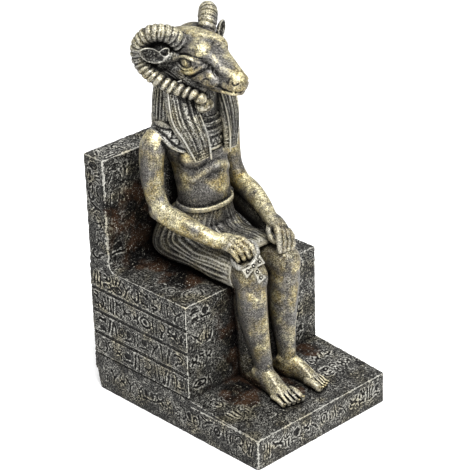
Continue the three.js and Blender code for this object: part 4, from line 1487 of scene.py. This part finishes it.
def worn_edge(points, axis, low, high, radius, corner=1):
    """Rounds the edges of a block's face, with small chips. Upright edges are rounder by the share in corner.
    An edge whose limit is None stays as it is."""
    drop = 0
    chips = radius * (1 + 0.35 * noise(points, 3.5))
    for other in range(3):
        if other == axis:
            continue
        for limit in (low[other], high[other]):
            if limit is None:
                continue
            reach = chips * (corner if other < 2 and axis < 2 else 1)
            inside = np.clip(reach - np.abs(points[..., other] - limit), 0, reach * math.sqrt(0.5))
            drop = drop + reach - np.sqrt(reach**2 - inside**2)
    return -drop


# Base: a row of marks on its sides and front, and short rows on the step

SIDE_ROW_SEED = 21
SIDE_SCRATCH_SEED = 23
FRONT_ROW_SEED = 35
FRONT_SCRATCH_SEED = 36
STEP_SEED = 41
# Above this height the base's edges are worn only in front of the throne
JOINED_FROM = 12
# Rows of marks on the step on both sides of the feet: their start, end, middle and height
STEP_ROWS = (
    (-HALF_WIDTH + 4, -24, -40, 9),
    (-HALF_WIDTH + 4, -26, -26, 10),
    (24, HALF_WIDTH - 4, -44, 9),
    (25, HALF_WIDTH - 4, -31, 10),
)


def base_top(y):
    forward = np.clip((y - FRONT_Y) / (THRONE_FRONT_Y - FRONT_Y), 0, 1)
    return BASE_TOP_FRONT + (BASE_TOP_BACK - BASE_TOP_FRONT) * forward


def shape_base(points):
    """Slopes the step down to the front, and bevels the foot of the back"""
    out = points.copy()
    out[:, 2] = points[:, 2] * base_top(points[:, 1]) / BASE_TOP_BACK
    low = np.clip(1 - out[:, 2] / BACK_BEVEL_HEIGHT, 0, 1)
    out[:, 1] -= BACK_BEVEL_DEPTH * low * ease(points[:, 1], BACK_Y - 20, BACK_Y)
    return out


def draw_base(face, axis, sign, points):
    y, z = points[..., 1], points[..., 2]
    if axis == 0:
        face.row(FRONT_Y + 3, BACK_Y - 6, 11.8, 10.5, SIDE_ROW_SEED + sign)
        face.scratches((FRONT_Y, 1), (BACK_Y, BASE_TOP_BACK), 3.4, SIDE_SCRATCH_SEED + sign)
    elif axis == 1 and sign < 0:
        face.row(-HALF_WIDTH + 4, HALF_WIDTH - 4, 10.8, 10, FRONT_ROW_SEED)
        face.scratches((-HALF_WIDTH, 1), (HALF_WIDTH, BASE_TOP_FRONT), 3.4, FRONT_SCRATCH_SEED)
    elif axis == 2:
        for i, row in enumerate(STEP_ROWS):
            face.row(*row, STEP_SEED + i)
    shown = ease(THRONE_FRONT_Y - y, 0, 1) if axis == 2 else 1
    high_y = None if axis == 2 else BACK_Y
    high_z = None if (axis, sign) == (1, 1) else BASE_TOP_FRONT
    edge = worn_edge(points, axis, (-HALF_WIDTH, FRONT_Y, 0), (HALF_WIDTH, high_y, high_z), 1.0, 1.7)
    return 1, shown, edge * np.where(z > JOINED_FROM, ease(THRONE_FRONT_Y - y, -1, 1), 1)


def base():
    xs = lines_between((-HALF_WIDTH, HALF_WIDTH), BLOCK_STEP)
    ys = lines_between((FRONT_Y, THRONE_FRONT_Y, BACK_Y), BLOCK_STEP)
    zs = lines_between((0, BASE_TOP_BACK), BLOCK_STEP)
    axes = (xs, ys, zs)
    return net_block("figurine_base", axes, draw_base, reshape=shape_base, covered_from=THRONE_FRONT_Y)


# Seat: four rows of marks on each side with double lines between, and a ringed disc on both sides of the top

SEAT_SIDE_SEED = 50
SEAT_SIDE_SCRATCH_SEED = 60
SEAT_FRONT_SEED = 70
SEAT_FRONT_SCRATCH_SEED = 80
SEAT_TOP_SEED = 90
SEAT_TOP_GRIT = 1.4
SEAT_EDGE = 0.7
DISC = (37, -4)
DISC_RINGS = ((6, 4.6), (2.6, 2.0))


def shape_seat(points):
    """Curves the top up into the slab"""
    out = points.copy()
    into = np.clip(points[:, 1] - (SLAB_FRONT_Y - SEAT_FILLET), 0, SEAT_FILLET)
    rise = SEAT_FILLET - np.sqrt(SEAT_FILLET**2 - into**2)
    rise[points[:, 1] > SLAB_FRONT_Y + 0.01] = 0
    out[:, 2] += rise * ease(points[:, 2], SEAT_TOP - 3, SEAT_TOP)
    return out


def draw_seat_row(face, axis, sign, row):
    low = BASE_TOP_BACK + ROW_HEIGHT * row
    middle, tall = low + ROW_HEIGHT / 2, ROW_HEIGHT * 0.74
    if axis == 0:
        face.row(THRONE_FRONT_Y + 2, BACK_Y - 2, middle, tall, SEAT_SIDE_SEED + row * 2 + sign)
        face.line(low)
        box = (THRONE_FRONT_Y, low + 1), (BACK_Y, low + ROW_HEIGHT - 1)
        face.scratches(*box, 3.0, SEAT_SIDE_SCRATCH_SEED + row * 2 + sign)
    elif axis == 1 and sign < 0:
        for side in (-1, 1):
            x = side * (HALF_WIDTH - 15)
            seed = row + 6 * side
            face.scratches((x - 13, low), (x + 13, low + ROW_HEIGHT), 2.0, SEAT_FRONT_SCRATCH_SEED + seed)
            face.row(x - 12, x + 4, middle, tall, SEAT_FRONT_SEED + seed)


def draw_seat(face, axis, sign, points):
    for row in range(CARVED_ROWS):
        draw_seat_row(face, axis, sign, row)
    if axis == 2:
        for side in (-1, 1):
            for across, along in DISC_RINGS:
                face.arc((side * DISC[0], DISC[1]), across, along, 0, 360, 0.1)
            face.row(side * DISC[0] - 8, side * DISC[0] + 8, 8, 7, SEAT_TOP_SEED + side)
    low = (-HALF_WIDTH, THRONE_FRONT_Y, None)
    high = (HALF_WIDTH, None if axis == 2 else BACK_Y, SEAT_TOP)
    if (axis, sign) == (1, 1):
        low, high = (-HALF_WIDTH, None, None), (HALF_WIDTH, None, None)
    shown = ease(SLAB_FRONT_Y - points[..., 1], 0, 3) if axis == 0 else 1
    return SEAT_TOP_GRIT if axis == 2 else 1, 1, worn_edge(points, axis, low, high, SEAT_EDGE) * shown


def seat():
    xs = lines_between((-HALF_WIDTH, HALF_WIDTH), SEAT_STEP)
    ys = lines_between((THRONE_FRONT_Y, SLAB_FRONT_Y, BACK_Y), SEAT_STEP)
    zs = lines_between((BASE_TOP_BACK, SEAT_TOP), SEAT_STEP)
    axes = (xs, ys, zs)
    return net_block("figurine_seat", axes, draw_seat, reshape=shape_seat, covered_from=SLAB_FRONT_Y)


# Slab: a row of marks up each side and along the top, and short rows in front on both sides of the figure

SLAB_MIDDLE = (SLAB_FRONT_Y + BACK_Y) / 2
SLAB_ROW = 15.5
SLAB_SIDE_SEED = 91
SLAB_FRONT_SEED = 100
SLAB_SCRATCH_SEED = 110
SLAB_TOP_SEED = 120


def draw_slab(face, axis, sign, points):
    if axis == 0:
        face.row(SEAT_TOP + 4, SLAB_TOP - 3, SLAB_MIDDLE, 11.5, SLAB_SIDE_SEED + sign)
    elif axis == 1 and sign < 0:
        for row in range(4):
            for i, (start, end) in enumerate(((-HALF_WIDTH + 2, -33), (33, HALF_WIDTH - 2))):
                face.row(start, end, 94 + row * SLAB_ROW, 12, SLAB_FRONT_SEED + row * 2 + i)
                box = (start, 88 + row * SLAB_ROW), (end, 103 + row * SLAB_ROW)
                face.scratches(*box, 3.0, SLAB_SCRATCH_SEED + row)
    elif axis == 2:
        face.row(-HALF_WIDTH + 3, HALF_WIDTH - 3, SLAB_MIDDLE, 11.5, SLAB_TOP_SEED)
    low, high = (-HALF_WIDTH, SLAB_FRONT_Y, None), (HALF_WIDTH, BACK_Y, SLAB_TOP)
    return 1, 1, worn_edge(points, axis, low, high, 1.1, 1.6)


def slab():
    xs = lines_between((-HALF_WIDTH, HALF_WIDTH), SEAT_STEP)
    ys = lines_between((SLAB_FRONT_Y, BACK_Y), SEAT_STEP)
    zs = lines_between((SEAT_TOP, SLAB_TOP), BLOCK_STEP)
    return net_block("figurine_slab", (xs, ys, zs), draw_slab, planes=SLAB_PLANES)


# Finish: dark wash in the hollows, rubbed silver on what stands out, gold on bare skin, brown-black patches,
# painted shade in broad hollows and painted light on skin that faces up

class Nodes:
    def __init__(self, material):
        material.use_nodes = True
        self.tree = material.node_tree
        self.tree.nodes.clear()

    def put(self, node, key, value):
        """Links a socket to an input, or sets the input to a number or a colour"""
        if isinstance(value, bpy.types.NodeSocket):
            self.tree.links.new(value, node.inputs[key])
        else:
            node.inputs[key].default_value = value

    def add(self, kind, inputs=None, **settings):
        node = self.tree.nodes.new(kind)
        for key, value in settings.items():
            setattr(node, key, value)
        for key, value in (inputs or {}).items():
            self.put(node, key, value)
        return node

    def value(self, name):
        return self.add("ShaderNodeAttribute", attribute_name=name).outputs["Fac"]

    def maths(self, operation, a, b=0.0):
        return self.add("ShaderNodeMath", {0: a, 1: b}, operation=operation).outputs[0]

    def product(self, a, b):
        return self.maths("MULTIPLY", a, b)

    def centred(self, value, gain):
        """A value from 0 to 1, moved down to lie round 0 and multiplied by the gain"""
        return self.product(self.maths("SUBTRACT", value, 0.5), gain)

    def total(self, *values):
        return functools.reduce(lambda a, b: self.maths("ADD", a, b), values)

    def span(self, value, low, high, to_low=0.0, to_high=1.0):
        node = self.add("ShaderNodeMapRange", {
            "Value": value, "From Min": low, "From Max": high, "To Min": to_low, "To Max": to_high,
        }, interpolation_type="SMOOTHSTEP")
        return node.outputs["Result"]

    def grain(self, size_mm, detail=2.0, roughness=0.6, tall=1.0):
        """Soft noise from 0 to 1. Its lumps are as many times taller than wide as tall says."""
        place = self.add("ShaderNodeTexCoord").outputs["Object"]
        shrink = (1, 1, 1 / tall)
        place = self.add("ShaderNodeVectorMath", {0: place, 1: shrink}, operation="MULTIPLY").outputs[0]
        return self.add("ShaderNodeTexNoise", {
            "Vector": place, "Scale": 1 / (size_mm * MM), "Detail": detail, "Roughness": roughness,
        }).outputs["Fac"]

    def cells(self, size_mm):
        """A different value for each grain, from 0 to 1"""
        place = self.add("ShaderNodeTexCoord").outputs["Object"]
        scale = 1 / (size_mm * MM)
        grains = self.add("ShaderNodeTexVoronoi", {"Vector": place, "Scale": scale}).outputs["Color"]
        return self.add("ShaderNodeSeparateColor", {"Color": grains}).outputs[0]

    def mix(self, share, a, b, blend_type="MIX"):
        node = self.add("ShaderNodeMix", data_type="RGBA", blend_type=blend_type)
        for key, value in ((0, share), (6, a), (7, b)):
            self.put(node, key, value)
        return node.outputs[2]

    def finish(self, **inputs):
        """Ends in a surface with these inputs, whose names are written with _ for a space"""
        inputs = {key.replace("_", " "): value for key, value in inputs.items()}
        shader = self.add("ShaderNodeBsdfPrincipled", inputs)
        self.add("ShaderNodeOutputMaterial", {"Surface": shader.outputs["BSDF"]})


WASH = (0.006, 0.0055, 0.0055, 1)
DEEP_SHADE = (0.006, 0.005, 0.005, 1)
SILVER_DULL = (0.066, 0.065, 0.062, 1)
SILVER_BRIGHT = (0.58, 0.57, 0.52, 1)
SKIN_SHADE = (0.09, 0.084, 0.078, 1)
SKIN_GREY = (0.23, 0.22, 0.205, 1)
SKIN_GOLD = (0.44, 0.34, 0.12, 1)
# SKIN_CREAM is the cream of the rubbed high points, and also the painted highlight on skin that faces up
SKIN_CREAM = (0.88, 0.80, 0.50, 1)
BROWN = (0.045, 0.026, 0.016, 1)
OLIVE = (0.076, 0.070, 0.050, 1)
GILT = (0.60, 0.56, 0.44, 1)

# Sizes of the grains and patches in the finish
GRAIN = 0.5
COARSE_GRAIN = GRAIN * 1.7
SMALL = 0.8
STREAK = 1.1
THREAD = 1.6
BLOTCH = 4.5
PATCH = 10.0
TINT = 13.0
LARGE = 17.0
# How far from a stroke its bright rim lies, and how wide it is
RIM_AT = 0.62
RIM_WIDE = 0.13
WASH_AND_SHADE_REACH = 10
SPECK_RELIEF = 0.1


class Finish:
    """The values that the coats of the finish share: what the pieces carry, and grains of several sizes"""

    def __init__(self, n):
        self.fine, self.broad, self.flesh = n.value("fine"), n.value("broad"), n.value("flesh")
        self.soot, self.stroke = n.value("soot"), n.value("stroke")
        self.speck, self.other_speck = n.cells(GRAIN), n.cells(COARSE_GRAIN)
        self.small = n.grain(SMALL, 2.0, 0.6)
        self.blotch = n.grain(BLOTCH, 3.0, 0.6)
        self.patch = n.grain(PATCH, 2.0, 0.5)
        self.large = n.grain(LARGE, 2.0, 0.5)


def stone_ground(n, f, tint):
    """Dark wash under dull silver and olive, which show more where the surface stands out"""
    stand = n.total(
        n.product(f.fine, 3.8),
        n.centred(f.speck, 1.0),
        n.centred(f.other_speck, 0.35),
        n.centred(f.blotch, 1.0),
        n.centred(f.large, 1.3),
    )
    return n.mix(n.span(stand, -0.15, 0.75), WASH, n.mix(tint, SILVER_DULL, OLIVE))


def rubbed(n, f):
    """Where the metal is rubbed bright: in fine threads, beside the strokes and on raised edges"""
    thread = n.span(n.maths("ABSOLUTE", n.centred(n.grain(THREAD, 1.0, 0.5), 1.0)), 0.05, 0.0)
    thread = n.product(thread, n.span(f.patch, 0.4, 0.6, 0.25, 0.8))
    rim = n.span(n.maths("ABSOLUTE", n.maths("SUBTRACT", f.stroke, RIM_AT)), RIM_WIDE, 0.0)
    rim = n.product(rim, n.span(n.total(f.blotch, n.centred(f.speck, 0.4)), 0.25, 0.6, 0.0, 0.95))
    raised = n.span(n.total(f.fine, n.centred(f.speck, 0.14)), 0.08, 0.3, 0.0, 0.85)
    bright = n.maths("MAXIMUM", n.maths("MAXIMUM", thread, rim), raised)
    return n.product(bright, n.span(f.speck, 0.0, 0.6, 0.45, 1.0))


def stone_colour(n, f):
    """Stone, cloth and hair"""
    tint = n.span(n.grain(TINT, 2.0, 0.5), 0.46, 0.68)
    colour = n.mix(rubbed(n, f), stone_ground(n, f, tint), n.mix(tint, SILVER_BRIGHT, GILT))
    in_stroke = n.product(n.span(f.stroke, 0.35, 0.0), n.span(f.speck, 0.95, 0.6, 0.3, 0.95))
    return n.mix(in_stroke, colour, WASH)


def skin_colour(n, f):
    """Bare skin: grey and gold in patches, rubbed to cream, with wash in its grooves and painted light on its
    upward faces
    """
    up = n.add("ShaderNodeSeparateXYZ", {"Vector": n.add("ShaderNodeNewGeometry").outputs["Normal"]})
    wear_and_top_light = n.total(
        n.maths("MINIMUM", n.product(f.broad, 0.5), 0.16),
        n.centred(f.blotch, 0.9),
        n.centred(f.patch, 0.9),
        n.centred(n.grain(STREAK, 2.0, 0.6, 7.0), 0.5),
        # Painted light and shade: faces that turn up are made lighter, towards cream, and faces that turn
        # down darker
        n.product(up.outputs["Z"], 0.2),
    )
    gold = n.total(n.centred(f.patch, 1.6), n.centred(f.large, 2.2), n.product(f.broad, 0.4))
    ground = n.mix(n.span(gold, -0.2, 0.55), SKIN_GREY, SKIN_GOLD)
    skin = n.mix(n.span(wear_and_top_light, -0.5, 0.2), SKIN_SHADE, ground)
    skin = n.mix(n.span(wear_and_top_light, 0.08, 0.55), skin, SKIN_CREAM)
    dusty = n.mix(n.span(f.other_speck, 0.35, 0.8, 0.0, 0.45), skin, SKIN_GREY)
    mottled = n.product(n.span(f.speck, 0.0, 1.0, 0.4, 1.5), n.span(f.small, 0.3, 0.7, 0.75, 1.25))
    skin = n.mix(1.0, dusty, mottled, blend_type="MULTIPLY")
    return n.mix(n.span(n.total(f.fine, n.centred(f.speck, 0.16)), -0.16, 0.0), WASH, skin)


def antiqued_resin():
    material = bpy.data.materials.new("antiqued_resin")
    n = Nodes(material)
    f = Finish(n)
    colour = n.mix(f.flesh, stone_colour(n, f), skin_colour(n, f))
    # Stains and painted shade round the figure: brown-black patches laid over the colour where that mask says
    stain_and_shade_colour = n.mix(n.span(f.patch, 0.38, 0.62), WASH, BROWN)
    colour = n.mix(n.product(f.soot, n.span(f.speck, 1.0, 0.8)), colour, stain_and_shade_colour)
    # Painted shade, partly the dark wash: broad hollows, corners and the places between parts are darkened
    # towards a deep shade by how little open space lies round them
    openness_for_wash_and_shade = n.add("ShaderNodeAmbientOcclusion", {"Distance": WASH_AND_SHADE_REACH * MM}, samples=6).outputs["AO"]
    colour = n.mix(n.span(openness_for_wash_and_shade, 0.12, 0.72), DEEP_SHADE, colour)
    bright = n.add("ShaderNodeRGBToBW", {"Color": colour}).outputs[0]
    metal = n.product(n.maths("SUBTRACT", 1.0, f.soot), n.span(bright, 0.02, 0.14, 0.0, 0.6))
    rough = n.maths("SUBTRACT", n.span(f.speck, 0.0, 1.0, 0.36, 0.58), n.product(f.soot, 0.12))
    relief = {"Height": f.speck, "Strength": 0.25, "Distance": SPECK_RELIEF * MM}
    normal = n.add("ShaderNodeBump", relief).outputs["Normal"]
    n.finish(Base_Color=colour, Metallic=metal, Roughness=rough, Specular_IOR_Level=0.15, Normal=normal)
    return material


# Set: pale floor, soft lights, and the camera of the photograph

CAMERA_TURN = -43.38
CAMERA_RISE = 26.46
CAMERA_ROLL = -1.73
CAMERA_AWAY = 1150.78
CAMERA_TARGET = (0.16, 0, 102.92)
LENS = 156.96
SENSOR = 36
CLIP_START = 0.05

# Each light: turn and rise in degrees, distance and size in metres, power in watts
LIGHTS = {
    "key": (-38, 66, 0.9, 0.35, 7.6),
    "front": (-10, 40, 1.0, 0.4, 3),
    "rim": (110, 60, 0.9, 0.3, 1.5),
}
LIGHT_TARGET = (0, 0, 0.1)
SKY_STRENGTH = 0.6
FLOOR_HALF = 4.0


def placed(name, data, turn, rise, away, target, roll=0.0):
    """An object that looks at the target, in metres, from a turn and a rise in degrees"""
    a, e = math.radians(turn), math.radians(rise)
    back = np.array((math.sin(a) * math.cos(e), -math.cos(a) * math.cos(e), math.sin(e)))
    right = unit(np.cross((0, 0, 1), back))
    up = np.cross(back, right)
    c, s = math.cos(math.radians(roll)), math.sin(math.radians(roll))
    right, up = c * right + s * up, -s * right + c * up
    at = np.array(target) + back * away
    made = bpy.data.objects.new(name, data)
    made.matrix_world = Matrix([[right[i], up[i], back[i], at[i]] for i in range(3)] + [[0, 0, 0, 1]])
    bpy.context.scene.collection.objects.link(made)
    return made


def camera():
    data = bpy.data.cameras.new("camera")
    data.sensor_width = SENSOR
    data.lens = LENS
    data.clip_start = CLIP_START
    target = np.array(CAMERA_TARGET) * MM
    eye = placed("camera", data, CAMERA_TURN, CAMERA_RISE, CAMERA_AWAY * MM, target, CAMERA_ROLL)
    bpy.context.scene.camera = eye


def soft_light(name, turn, rise, away, size, power):
    data = bpy.data.lights.new(name, "AREA")
    data.shape = "DISK"
    data.size = size
    data.energy = power
    placed(name, data, turn, rise, away, LIGHT_TARGET)


def add_sky():
    world = bpy.data.worlds.new("studio")
    world.use_nodes = True
    background = world.node_tree.nodes["Background"]
    background.inputs["Color"].default_value = (1, 1, 1, 1)
    background.inputs["Strength"].default_value = SKY_STRENGTH
    bpy.context.scene.world = world
    bpy.context.scene.view_settings.view_transform = "Standard"
    bpy.context.scene.view_settings.look = "Medium High Contrast"


def add_floor():
    material = bpy.data.materials.new("floor")
    pale, white = (0.93, 0.93, 0.93, 1), (1, 1, 1, 1)
    Nodes(material).finish(Base_Color=pale, Roughness=0.9, Emission_Color=white, Emission_Strength=0.1)
    mesh = bpy.data.meshes.new("floor")
    corners = [(x * FLOOR_HALF, y * FLOOR_HALF, 0) for x, y in ((-1, -1), (1, -1), (1, 1), (-1, 1))]
    mesh.from_pydata(corners, [], [(0, 1, 2, 3)])
    floor = bpy.data.objects.new("floor", mesh)
    floor.data.materials.append(material)
    bpy.context.scene.collection.objects.link(floor)
    floor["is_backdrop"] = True


def studio():
    add_sky()
    add_floor()
    for name, light in LIGHTS.items():
        soft_light(name, *light)


camera()
studio()
finish = antiqued_resin()
for make in (slab, seat, base, legs, body, ankh, head):
    piece = make()
    piece.data.materials.clear()
    piece.data.materials.append(finish)
    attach(piece, "root")
    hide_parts("figurine")

boxes = [[[float(v) for v in corner] for corner in box] for box in (cad_box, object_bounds())]
